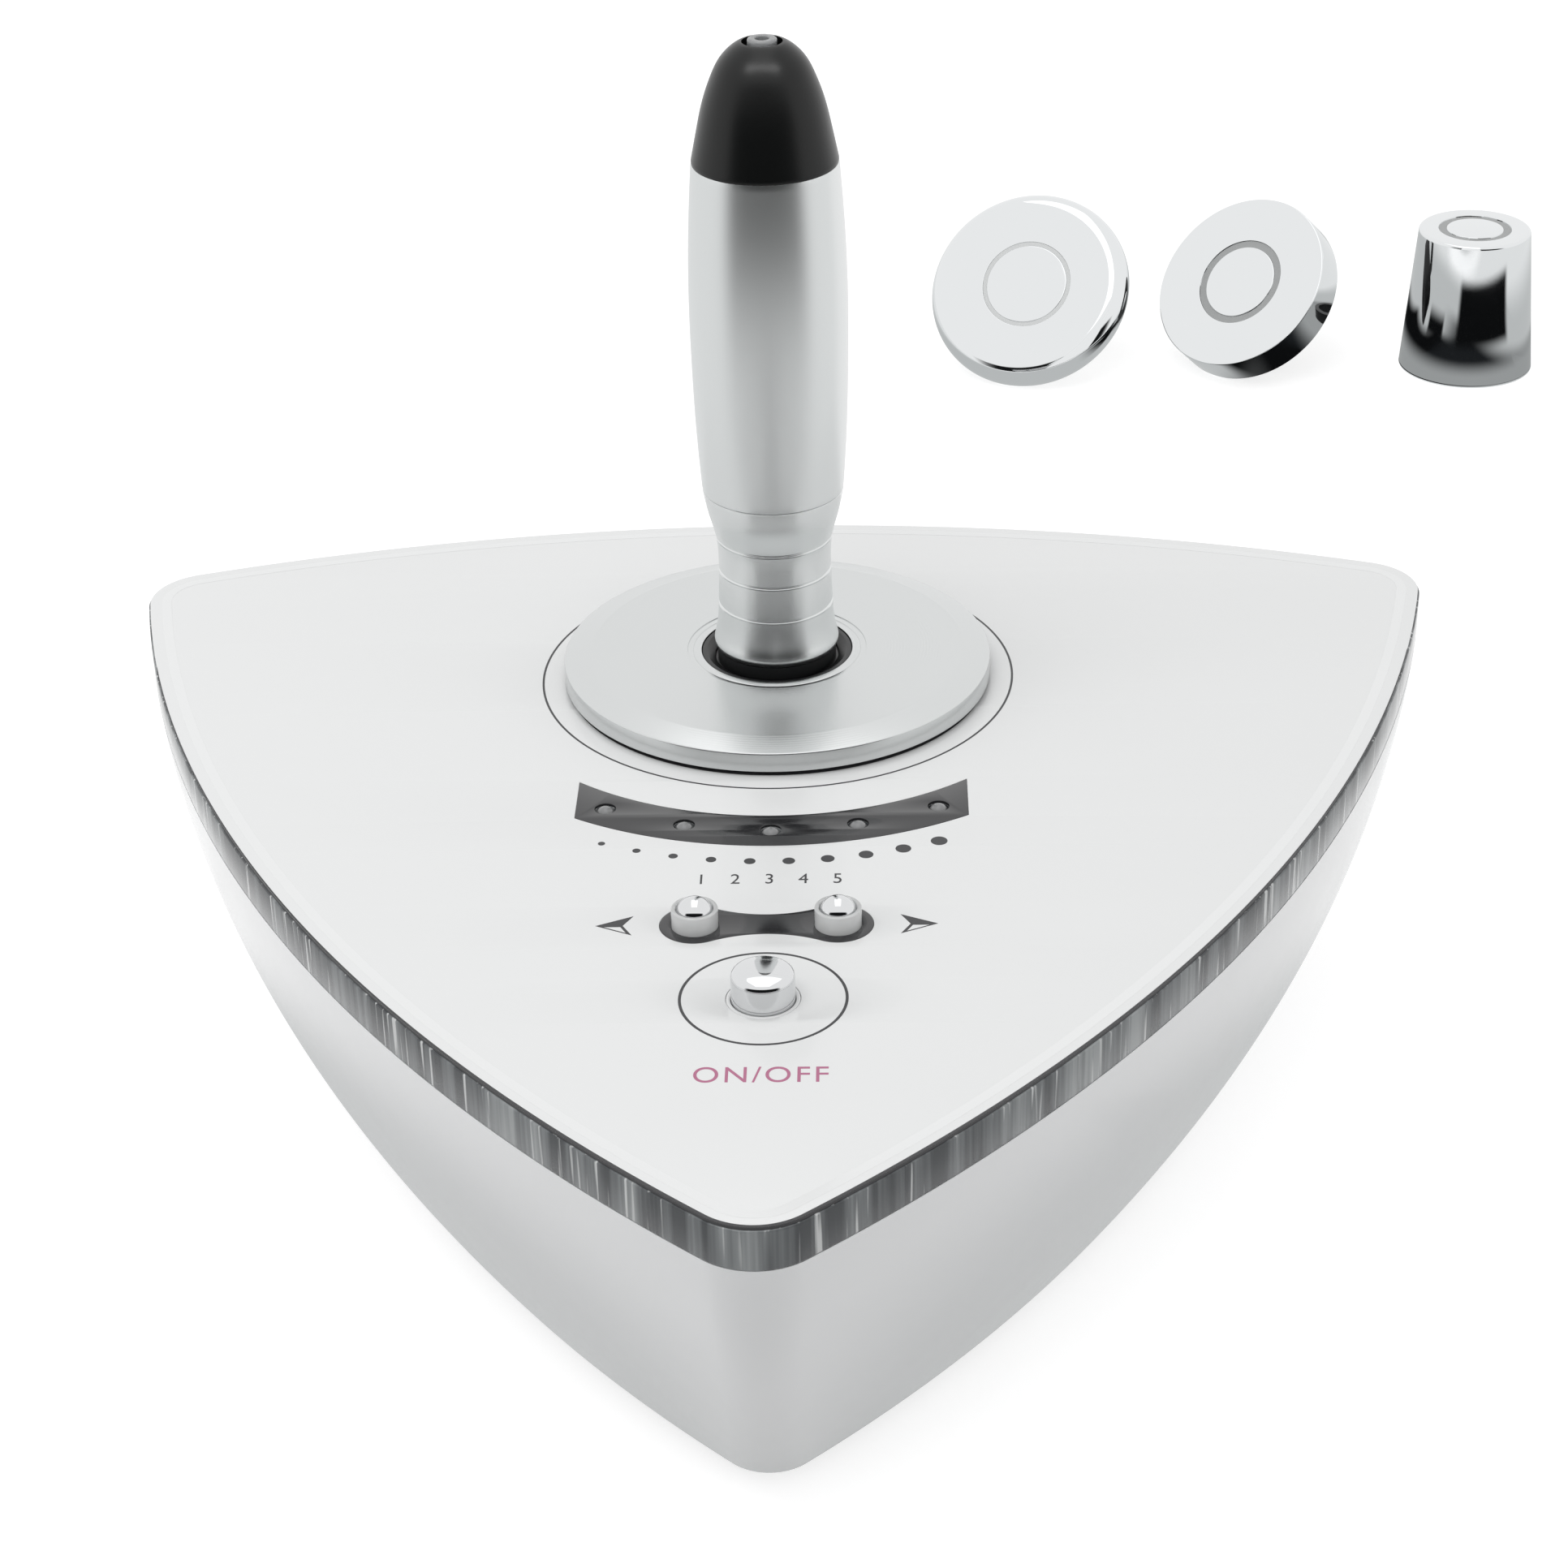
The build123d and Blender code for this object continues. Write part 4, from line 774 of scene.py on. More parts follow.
@dataclass
class BaseShell:
    """The white bowl, with its ledges, bosses and the two sockets' seats in its rear."""

    wall: float = 2.6
    foot_round: float = 1.6
    cover_top: float = 4.6
    lower_ledge_top: float = 6.6
    lower_ledge_width: float = 7.5
    upper_ledge_width: float = 8.6
    upper_ledge_foot: float = 66.5
    upper_ledge_top: float = 69.5
    rim_gap: float = 0.02
    foot_steps: int = 6
    rows: int = 44
    inner_rows: int = 14
    rear_axis: float = 46.0
    pocket_depth: float = 3.5
    bore_depth: float = 6.0
    pad_thickness: float = 3.0
    pad_rim: float = 2.0
    pad_proud: float = 1.0
    sockets: tuple[Corner, ...] = ((-55.0, 8.1, 5.6), (78.0, 6.7, 4.5))  # x, pocket and bore radius

    def section(self) -> list[Point]:
        """The wall's section as (height, distance inwards) points, round the whole of it."""
        foot, head = FORM.foot, FORM.head - self.rim_gap
        rise = np.linspace(0, math.pi / 2, self.foot_steps + 1)
        edge = self.foot_round
        points = [(foot + edge * (1 - math.cos(a)), edge * (1 - math.sin(a))) for a in rise]
        points += [(h, 0.0) for h in np.linspace(points[-1][0], head, self.rows + 1)[1:]]
        ledge = self.wall + self.upper_ledge_width
        points += [(head, self.wall), (self.upper_ledge_top, self.wall), (self.upper_ledge_top, ledge)]
        points += [(self.upper_ledge_foot, ledge)]
        inner = np.linspace(self.upper_ledge_foot, self.lower_ledge_top, self.inner_rows + 1)
        points += [(h, self.wall) for h in inner]
        ledge = self.wall + self.lower_ledge_width
        points += [(self.lower_ledge_top, ledge), (self.cover_top, ledge), (self.cover_top, self.wall)]
        return points + [(foot, self.wall)]

    def rear_face(self, x: float) -> float:
        """Y of a socket's flat seat in the rear wall."""
        reach, sides, _ = FORM.sizes(self.rear_axis)
        return math.sqrt(sides**2 - x**2) - (sides - reach) - self.pocket_depth

    def build(self) -> None:
        """Makes the bowl and delivers it."""
        rings = [[(x, y, h) for x, y in FORM.ring(h, inward)] for h, inward in self.section()]
        count = len(rings[0])
        points = np.array([p for ring in rings for p in ring])
        faces: list[tuple[int, ...]] = []
        for i in range(len(rings)):
            faces += ring_strip(i * count, (i + 1) % len(rings) * count, count)
        pads, pockets = [], []
        for x, pocket, bore in self.sockets:
            seat = facing(Vector((x, self.rear_face(x), self.rear_axis)), Vector((0, 1, 0)))
            pad, reach = pocket + self.pad_rim, 3 * self.pocket_depth
            foot, head = -self.pad_thickness, self.pad_proud
            pads.append(turned([(0, foot), (pad, foot), (pad, head), (0, head)], seat, 96))
            foot = -self.bore_depth
            stepped = [(0, foot), (bore, foot), (bore, 0), (pocket, 0), (pocket, reach), (0, reach)]
            pockets.append(turned(stepped, seat, 96))
        mesh = cut(cut(mesh_of(points, faces), pads, "UNION"), pockets)
        deliver("shell_moulding", mesh, SHELL_WHITE, Body.BASE, "shell_white", "body_shell")


@dataclass
class FacePlate:
    """The clear plate, the printed sheet on it, and the dark inlays in the sheet."""

    plate_foot: float = 70.0
    plate_head: float = 77.5
    plate_gap: float = 0.02
    plate_edge: float = 0.3
    sheet_inset: float = 0.35
    sheet_edge: float = 0.12
    holder_y: float = 32.2
    holder_hole: float = 13.5
    lamp_ring: float = 60.5
    lamp_step: float = 15.0
    lamp_count: int = 5
    lamp_hole: float = 1.95
    window_inner: float = 55.4
    window_outer: float = 66.1
    window_half: float = 35.6
    key_x: float = 12.3
    key_y: float = -60.4
    key_hole: float = 4.09
    key_lobe: float = 6.1
    key_waist: float = 6.3
    power_y: float = -83.7
    power_hole: float = 6.29
    inlay_gap: float = 0.04
    inlay_edge: float = 0.08

    def lamps(self) -> list[Point]:
        """Middles of the lamps, from left to right."""
        middle = (self.lamp_count - 1) / 2
        turns = [math.radians((i - middle) * self.lamp_step) for i in range(self.lamp_count)]
        return [(self.lamp_ring * math.sin(t), self.holder_y - self.lamp_ring * math.cos(t)) for t in turns]

    def window(self, grow: float = 0.0) -> list[Point]:
        """Outline of the curved window over the lamps."""
        half, outer, inner = self.window_half + grow, self.window_outer + grow, self.window_inner - grow
        centre, down = (0.0, self.holder_y), -math.pi / 2
        swing_out, swing_in = math.asin(half / outer), math.asin(half / inner)
        far = arc(centre, outer, down - swing_out, down + swing_out, 64)
        return far + arc(centre, inner, down + swing_in, down - swing_in, 64)

    def keys(self, grow: float = 0.0) -> list[Point]:
        """Outline of the waisted inlay: two round lobes joined by hollow arcs."""
        lobe, waist = self.key_lobe + grow, self.key_waist / 2 + grow
        bow = (self.key_x**2 + waist**2 - lobe**2) / (2 * (lobe - waist))
        touch = math.atan2(waist + bow, self.key_x)
        lean = math.pi / 2 - touch
        y = self.key_y
        points = arc((self.key_x, y), lobe, touch - math.pi, math.pi - touch, 56)
        points += arc((0, y + waist + bow), bow, -math.pi / 2 + lean, -math.pi / 2 - lean, 24)[1:-1]
        points += arc((-self.key_x, y), lobe, touch, 2 * math.pi - touch, 56)
        points += arc((0, y - waist - bow), bow, math.pi / 2 + lean, math.pi / 2 - lean, 24)[1:-1]
        return points

    def build(self) -> None:
        """Makes the plate, the sheet and the inlays and delivers them."""
        lamp_holes = [circle(x, y, self.lamp_hole, 40) for x, y in self.lamps()]
        key_holes = [circle(side * self.key_x, self.key_y, self.key_hole) for side in (-1, 1)]
        holder_hole = circle(0, self.holder_y, self.holder_hole, 128)
        power_hole = circle(0, self.power_y, self.power_hole)
        outlines = [FORM.ring(FORM.head), holder_hole, power_hole, *key_holes, *lamp_holes]
        plate = sheet_mesh(outlines, self.plate_foot + self.plate_gap, self.plate_head, self.plate_edge)
        deliver("acrylic_plate", plate, ACRYLIC_WITH_PAINTED_REFLECTIONS, Body.BASE, "clear_acrylic", "clear_plate")

        foot = self.plate_head + self.plate_gap
        edge = FORM.ring(FORM.head, self.sheet_inset)
        outlines = [edge, holder_hole, power_hole, self.window(self.inlay_gap), self.keys(self.inlay_gap)]
        sheet = sheet_mesh(outlines, foot, TOP, self.sheet_edge)
        deliver("printed_sheet", sheet, PANEL_WHITE, Body.BASE, "panel_white", "face_panel")
        inlays = (
            ("lamp_window", [self.window(), *lamp_holes], "led_window"),
            ("key_surround", [self.keys(), *key_holes], "key_inlay"),
        )
        for name, outlines, node in inlays:
            mesh = sheet_mesh(outlines, foot, TOP, self.inlay_edge)
            deliver(name, mesh, PANEL_DARK, Body.BASE, "panel_dark", node)


@dataclass
class Print:
    """What is printed on the sheet: lines, circles, dots that grow, numbers, arrows and two words.

    The ring under the holder's rim is painted shadow, grey ink that keeps the narrow gap dark, and
    the lines along the two front edges are painted shade.
    """

    lift: float = 0.003
    thick: float = 0.02
    border_inset: float = 2.7
    border_width: float = 1.9
    edge_inset: float = 0.37
    edge_width: float = 0.6
    edge_run: int = 84
    edge_taper: float = 1.25
    edge_least: float = 0.02
    skirt_inset: float = 0.29
    skirt_width: float = 0.05
    skirt_drop: float = 0.483
    circles: tuple[tuple[str, float, float, float], ...] = (
        ("holder_circle", HOLDER_AXIS[1], 45.5, 0.42),
        # painted shadow: grey ink under the holder's rim darkens the narrow gap there
        ("holder_seat_ring", HOLDER_AXIS[1], 39.3, 2.6),
        ("power_circle", FacePlate.power_y, 13.9, 0.5),
    )
    dot_ring: float = 71.6
    dot_first: float = -24.9
    dot_step: float = 5.53
    dot_count: int = 10
    dot_small: float = 0.65
    dot_large: float = 1.5
    dot_sides: int = 28
    number_place: Point = (0.4, -45.4)
    number_size: Point = (24.8, 3.3)
    word_place: Point = (0.15, -106.2)
    word_size: Point = (21.7, 4.4)
    letter_space: float = 1.15
    arrow_x: float = 29.4
    arrow_y: float = -60.7
    arrow_length: float = 6.4
    arrow_half: float = 3.1
    arrow_notch: float = 1.7
    arrow_hollow: float = 0.62

    def stamp(
        self,
        name: str,
        outlines: Sequence[Sequence[Point]],
        finish: Finish = INK_GREY,
        slot: str = "panel_dark",
        drop: float = 0.0,
    ) -> None:
        """Delivers one printed shape.

        Args:
            name: the piece's name.
            outlines: its edge and its holes, in millimetres.
            finish: its ink.
            slot: its material slot.
            drop: how far it reaches down past the printed face.
        """
        foot = TOP + self.lift
        mesh = sheet_mesh(outlines, foot - drop, foot + self.thick)
        deliver(name, mesh, finish, Body.BASE, slot)

    def words(self, name: str, text: str, place: Point, size: Point, finish: Finish) -> None:
        """Delivers one line of lettering.

        Args:
            name: the piece's name.
            text: what it says.
            place: where its middle lies.
            size: its width and its capitals' height, to which it is stretched.
            finish: its ink.
        """
        letters = bpy.data.curves.new(name, "FONT")
        letters.body = text
        letters.align_x = "CENTER"
        letters.align_y = "CENTER"
        letters.size = size[1]
        letters.space_character = self.letter_space
        letters.extrude = self.thick / 2
        letters.fill_mode = "BOTH"
        mesh = flat_made_solid(letters, Vector((0, 0, TOP + self.lift + self.thick / 2)))
        spots = np.array([v.co[:] for v in mesh.vertices])
        low, high = spots.min(axis=0), spots.max(axis=0)
        middle = (low + high) / 2
        grow = [size[i] * MM / (high[i] - low[i]) for i in (0, 1)]
        mesh.transform(
            Matrix.Translation((place[0] * MM, place[1] * MM, 0))
            @ Matrix.Diagonal((*grow, 1, 1))
            @ Matrix.Translation((-middle[0], -middle[1], 0))
        )
        deliver(name, mesh, finish, Body.BASE, "panel_dark")

    def dots(self) -> None:
        """Makes the row of growing dots with geometry nodes."""
        given_values = {
            "Count": ("Int", self.dot_count),
            "Ring Radius": ("Float", self.dot_ring * MM),
            "First Turn": ("Float", math.radians(self.dot_first)),
            "Turn Step": ("Float", math.radians(self.dot_step)),
            "Smallest": ("Float", self.dot_small * MM),
            "Largest": ("Float", self.dot_large * MM),
            "Thickness": ("Float", self.thick * MM),
            "Ink": ("Material", INK_GREY.material()),
        }
        tree = bpy.data.node_groups.new("growing_dots", "GeometryNodeTree")
        for label, (kind, _) in given_values.items():
            tree.interface.new_socket(label, in_out="INPUT", socket_type=f"NodeSocket{kind}")
        tree.interface.new_socket("Geometry", in_out="OUTPUT", socket_type="NodeSocketGeometry")
        given = add_node(tree, "NodeGroupInput").outputs
        row = add_node(tree, "GeometryNodeMeshLine", inputs={"Count": given["Count"]}).outputs[0]
        index = add_node(tree, "GeometryNodeInputIndex").outputs[0]
        turn = {0: index, 1: given["Turn Step"], 2: given["First Turn"]}
        swing = add_node(tree, "ShaderNodeMath", {"operation": "MULTIPLY_ADD"}, turn)
        sine = add_node(tree, "ShaderNodeMath", {"operation": "SINE"}, {0: swing})
        cosine = add_node(tree, "ShaderNodeMath", {"operation": "COSINE"}, {0: swing})
        ring = given["Ring Radius"]
        x = add_node(tree, "ShaderNodeMath", {"operation": "MULTIPLY"}, {0: sine, 1: ring})
        ahead = add_node(tree, "ShaderNodeMath", {"operation": "MULTIPLY"}, {0: cosine, 1: ring})
        y = add_node(tree, "ShaderNodeMath", {"operation": "MULTIPLY"}, {0: ahead, 1: -1.0})
        spot = add_node(tree, "ShaderNodeCombineXYZ", inputs={0: x, 1: y}).outputs[0]
        placed = add_node(tree, "GeometryNodeSetPosition", inputs={"Geometry": row, "Position": spot})
        last = add_node(tree, "ShaderNodeMath", {"operation": "SUBTRACT"}, {0: given["Count"], 1: 1.0})
        growth = {"From Max": last, "To Min": given["Smallest"], "To Max": given["Largest"]}
        size = add_node(tree, "ShaderNodeMapRange", inputs={"Value": index, **growth})
        form = {"Vertices": self.dot_sides, "Radius": 1.0, "Depth": given["Thickness"]}
        dot = add_node(tree, "GeometryNodeMeshCylinder", {"fill_type": "NGON"}, form)
        wide = add_node(tree, "ShaderNodeCombineXYZ", inputs={0: size, 1: size, 2: 1.0})
        parts = {"Points": placed.outputs[0], "Instance": dot.outputs[0], "Scale": wide.outputs[0]}
        dots = add_node(tree, "GeometryNodeInstanceOnPoints", inputs=parts)
        real = add_node(tree, "GeometryNodeRealizeInstances", inputs={0: dots.outputs[0]})
        inking = {"Geometry": real.outputs[0], "Material": given["Ink"]}
        inked = add_node(tree, "GeometryNodeSetMaterial", inputs=inking)
        add_node(tree, "NodeGroupOutput", inputs={0: inked.outputs[0]})
        mesh = grown(tree, {label: value for label, (_, value) in given_values.items()})
        height = TOP + self.lift + self.thick / 2
        mesh.transform(Matrix.Translation(Vector((0, HOLDER_AXIS[1], height)) * MM))
        finish_mesh(mesh)
        deliver("power_dots", mesh, INK_GREY, Body.BASE, "panel_dark")

    def arrow(self, name: str, side: int) -> None:
        """Prints one arrowhead: its filled upper half, and the thin edge of its lower half."""
        tip, y = (side * self.arrow_x, self.arrow_y), self.arrow_y
        back = self.arrow_x - self.arrow_length
        notch = (side * (back + self.arrow_notch), y)
        lower = [tip, notch, (side * back, y - self.arrow_half)]
        middle = np.mean(lower, axis=0) * (1 - self.arrow_hollow)
        inside = [tuple(np.array(p) * self.arrow_hollow + middle) for p in lower]
        self.stamp(name, [[tip, (side * back, y + self.arrow_half), notch]])
        self.stamp(f"{name}_edge", [lower, inside])

    def edge_line(self, inset: float, width: float) -> list[Point]:
        """Outline of a band of painted shade along the sheet's two front sides, widest at the front corner.
        """
        outer = np.array(FORM.ring(FORM.head, inset))
        inner = np.array(FORM.ring(FORM.head, inset + width))
        middle = FORM.corner_steps // 2
        reach = self.edge_run + middle
        order = np.arange(-reach, reach + 1)
        share = np.clip(self.edge_taper * (1 - np.abs(order) / reach), self.edge_least, 1.0)[:, None]
        spots = (order + middle) % len(outer)
        near = outer[spots] * (1 - share) + inner[spots] * share
        return [tuple(p) for p in (*outer[spots], *near[::-1])]

    def build(self) -> None:
        """Prints everything."""
        # painted shade: grey ink along the sheet's two front edges and down their sides, widest at the
        # front corner
        self.stamp("edge_line", [self.edge_line(self.edge_inset, self.edge_width)])
        skirt = self.edge_line(self.skirt_inset, self.skirt_width)
        self.stamp("edge_line_side", [skirt], drop=self.skirt_drop)
        border = [FORM.ring(FORM.head, self.border_inset + width) for width in (0.0, self.border_width)]
        self.stamp("pale_border", border, BORDER_WHITE, "panel_white")
        for name, y, radius, width in self.circles:
            self.stamp(name, [circle(0, y, radius + side * width / 2, 192) for side in (1, -1)])
        self.dots()
        self.arrow("lower_arrow", -1)
        self.arrow("higher_arrow", 1)
        self.words("power_numbers", "1   2   3   4   5", self.number_place, self.number_size, INK_GREY)
        self.words("on_off_words", "ON/OFF", self.word_place, self.word_size, INK_PINK)


def grown(tree: Tree, values: Mapping[str, object]) -> Mesh:
    """Runs a geometry node tree once with named inputs and returns what it makes.

    Args:
        tree: the node tree.
        values: the value of each of its inputs, by the input's name.

    Returns:
        A plain mesh.
    """
    holder = bpy.data.objects.new("grown", bpy.data.meshes.new("grown"))
    bpy.context.scene.collection.objects.link(holder)
    growth = holder.modifiers.new("growth", "NODES")
    growth.node_group = tree
    for item in tree.interface.items_tree:
        if item.in_out == "INPUT":
            growth[item.identifier] = values[item.name]
    graph = bpy.context.evaluated_depsgraph_get()
    mesh = bpy.data.meshes.new_from_object(holder.evaluated_get(graph))
    bpy.data.objects.remove(holder)
    return mesh


@dataclass(frozen=True)
class Button:
    """One button: its place, the radii of its side, crown and shoulder, and its collar's rise."""

    name: str
    body: Body
    x: float
    y: float
    radius: float
    height: float
    crown: float
    shoulder: float
    collar_rise: float


@dataclass
class Buttons:
    """The three chromed buttons, each in its clear collar."""

    keys: tuple[Button, ...] = (
        Button("power", Body.POWER_KEY, 0.0, FacePlate.power_y, 5.4, 6.0, 18.0, 1.4, 0.0),
        Button("minus", Body.MINUS_KEY, -FacePlate.key_x, FacePlate.key_y, 3.2, 5.3, 3.25, 3.05, 3.4),
        Button("plus", Body.PLUS_KEY, FacePlate.key_x, FacePlate.key_y, 3.2, 5.3, 3.25, 3.05, 3.4),
    )
    gap: float = 0.15
    collar_gap: float = 0.06
    collar_wall: float = 0.7
    flange: float = 1.2
    flange_top: float = -8.05
    stem_radius: float = 1.4

    def section(self, key: Button) -> list[Point]:
        """Half section of a button: stem, flange, straight side, round shoulder and crown."""
        low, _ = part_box(f"{key.name}_button")
        stem_foot = low.z / MM - TOP
        flange_foot = self.flange_top - self.flange
        corners = [
            (0.0, stem_foot, 0.0),
            (self.stem_radius, stem_foot, 0.2),
            (self.stem_radius, flange_foot, 0.0),
            (key.radius + self.collar_wall, flange_foot, 0.2),
            (key.radius + self.collar_wall, self.flange_top, 0.2),
            (key.radius, self.flange_top, 0.0),
        ]
        inner, ball = key.radius - key.shoulder, key.crown - key.shoulder
        lean = math.asin(inner / ball)
        middle = key.height - key.crown + ball * math.cos(lean)
        top = math.pi / 2
        shoulder = arc((inner, middle), key.shoulder, 0.0, top - lean, 18)
        crown = arc((0.0, key.height - key.crown), key.crown, top - lean, top, 22)
        return rounded(corners) + shoulder + crown[1:]

    def build(self) -> None:
        """Makes the buttons and their collars."""
        foot = FacePlate.plate_foot - TOP
        for key in self.keys:
            seat = upright(key.x, key.y, TOP)
            dome = turned(self.section(key), seat, 128)
            deliver(f"{key.name}_dome", dome, CHROME, key.body, "button_chrome", f"{key.name}_button")
            inner = key.radius + self.collar_gap
            outer = key.radius + self.gap + self.collar_wall
            head = key.collar_rise
            corners = [(inner, foot, 0.1), (outer, foot, 0.1), (outer, head, 0.35), (inner, head, 0.35)]
            collar = turned(rounded(corners), seat, 96)
            finish = COLLAR_CLEAR if head > 0 else COLLAR_MILKY
            deliver(f"{key.name}_collar", collar, finish, Body.BASE, "guide_clear", f"{key.name}_guide")


@dataclass
class Lamps:
    """The five unlit lamps in the window, each on two wire legs."""

    radius: float = 1.9
    proud: float = 0.35
    flange_radius: float = 2.4
    flange: float = 1.0
    leg_radius: float = 0.3
    leg_top: float = 69.2
    leg_spread: float = 1.27

    def build(self) -> None:
        """Makes a domed lamp at each place, with legs as long as the CAD's."""
        foot = FacePlate.plate_foot
        shoulder = TOP + self.proud - self.radius - foot
        outline = [(0, -self.flange), (self.flange_radius, -self.flange), (self.flange_radius, 0)]
        outline += [(self.radius, 0), *arc((0.0, shoulder), self.radius, 0.0, math.pi / 2, 14)]
        for i, (x, y) in enumerate(FacePlate().lamps(), 1):
            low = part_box(f"led_{i}")[0].z / MM
            leg = [(0, low), (self.leg_radius, low), (self.leg_radius, self.leg_top), (0, self.leg_top)]
            legs = [turned(leg, upright(x + side * self.leg_spread, y, 0), 16) for side in (-1, 1)]
            mesh = joined([turned(outline, upright(x, y, foot), 48), *legs])
            deliver(f"lamp_{i}", mesh, LAMP_CLEAR, Body.BASE, "lamp_clear", f"led_{i}")


@dataclass
class Holder:
    """The turned disc on the sheet and the black socket in it."""

    radius: float = 41.2
    foot_radius: float = 33.0
    flat_radius: float = 36.0
    height: float = 6.0
    sheet_gap: float = 0.02
    foot_height: float = 1.0
    rim_height: float = 4.8
    step_radius: float = 17.3
    step_depth: float = 0.25
    ring_radius: float = 16.2
    ring_width: float = 0.36
    ring_depth: float = 0.12
    hole: float = 13.5
    cup_radius: float = 14.5
    cup_gap: float = 0.1
    cup_body: float = 13.4
    cup_rim_drop: float = 0.2
    cup_flange: float = 3.1
    mouth: float = 13.6
    mouth_depth: float = 1.0
    throat: float = 11.9
    shoulder: float = 4.0
    bore: float = 9.4
    depth: float = 13.0
    floor: float = 2.0

    def build(self) -> None:
        """Makes the disc and the socket."""
        seat = upright(0, HOLDER_AXIS[1], TOP)
        ledge = self.height - self.step_depth
        seat_height = ledge - self.cup_rim_drop - self.cup_flange
        opening = self.cup_radius + self.cup_gap
        corners = [
            (self.radius, self.rim_height, 0.35),
            (self.flat_radius, self.height, 0.8),
            (self.step_radius, self.height, 0.12),
            (self.step_radius - 0.05, ledge, 0.05),
            (self.ring_radius + self.ring_width / 2, ledge, 0.0),
            (self.ring_radius, ledge - self.ring_depth, 0.0),
            (self.ring_radius - self.ring_width / 2, ledge, 0.0),
            (opening, ledge, 0.15),
            (opening, seat_height, 0.0),
            (self.hole, seat_height, 0.0),
            (self.hole, self.sheet_gap, 0.0),
            (self.foot_radius, self.sheet_gap, 0.0),
            (self.foot_radius, self.foot_height, 0.0),
            (self.radius, self.foot_height, 0.2),
        ]
        disc = turned(rounded(corners), seat, 256, math.radians(50))
        deliver("holder_plate", disc, HOLDER_ALUMINIUM, Body.BASE, "holder_aluminium", "holder_disc")
        top = seat_height + self.cup_flange
        corners = [
            (0.0, -self.depth, 0.0),
            (self.cup_body, -self.depth, 0.5),
            (self.cup_body, seat_height, 0.0),
            (self.cup_radius, seat_height, 0.1),
            (self.cup_radius, top, 0.25),
            (self.mouth, top, 0.3),
            (self.throat, top - self.mouth_depth, 0.3),
            (self.throat, self.shoulder, 0.1),
            (self.bore, self.shoulder, 0.2),
            (self.bore, self.floor - self.depth, 0.3),
            (0.0, self.floor - self.depth, 0.0),
        ]
        cup = turned(rounded(corners), seat, 160)
        deliver("holder_socket", cup, SOCKET_BLACK, Body.BASE, "socket_black", "socket_cup")


# ---------------------------------------------------------------- the handpiece


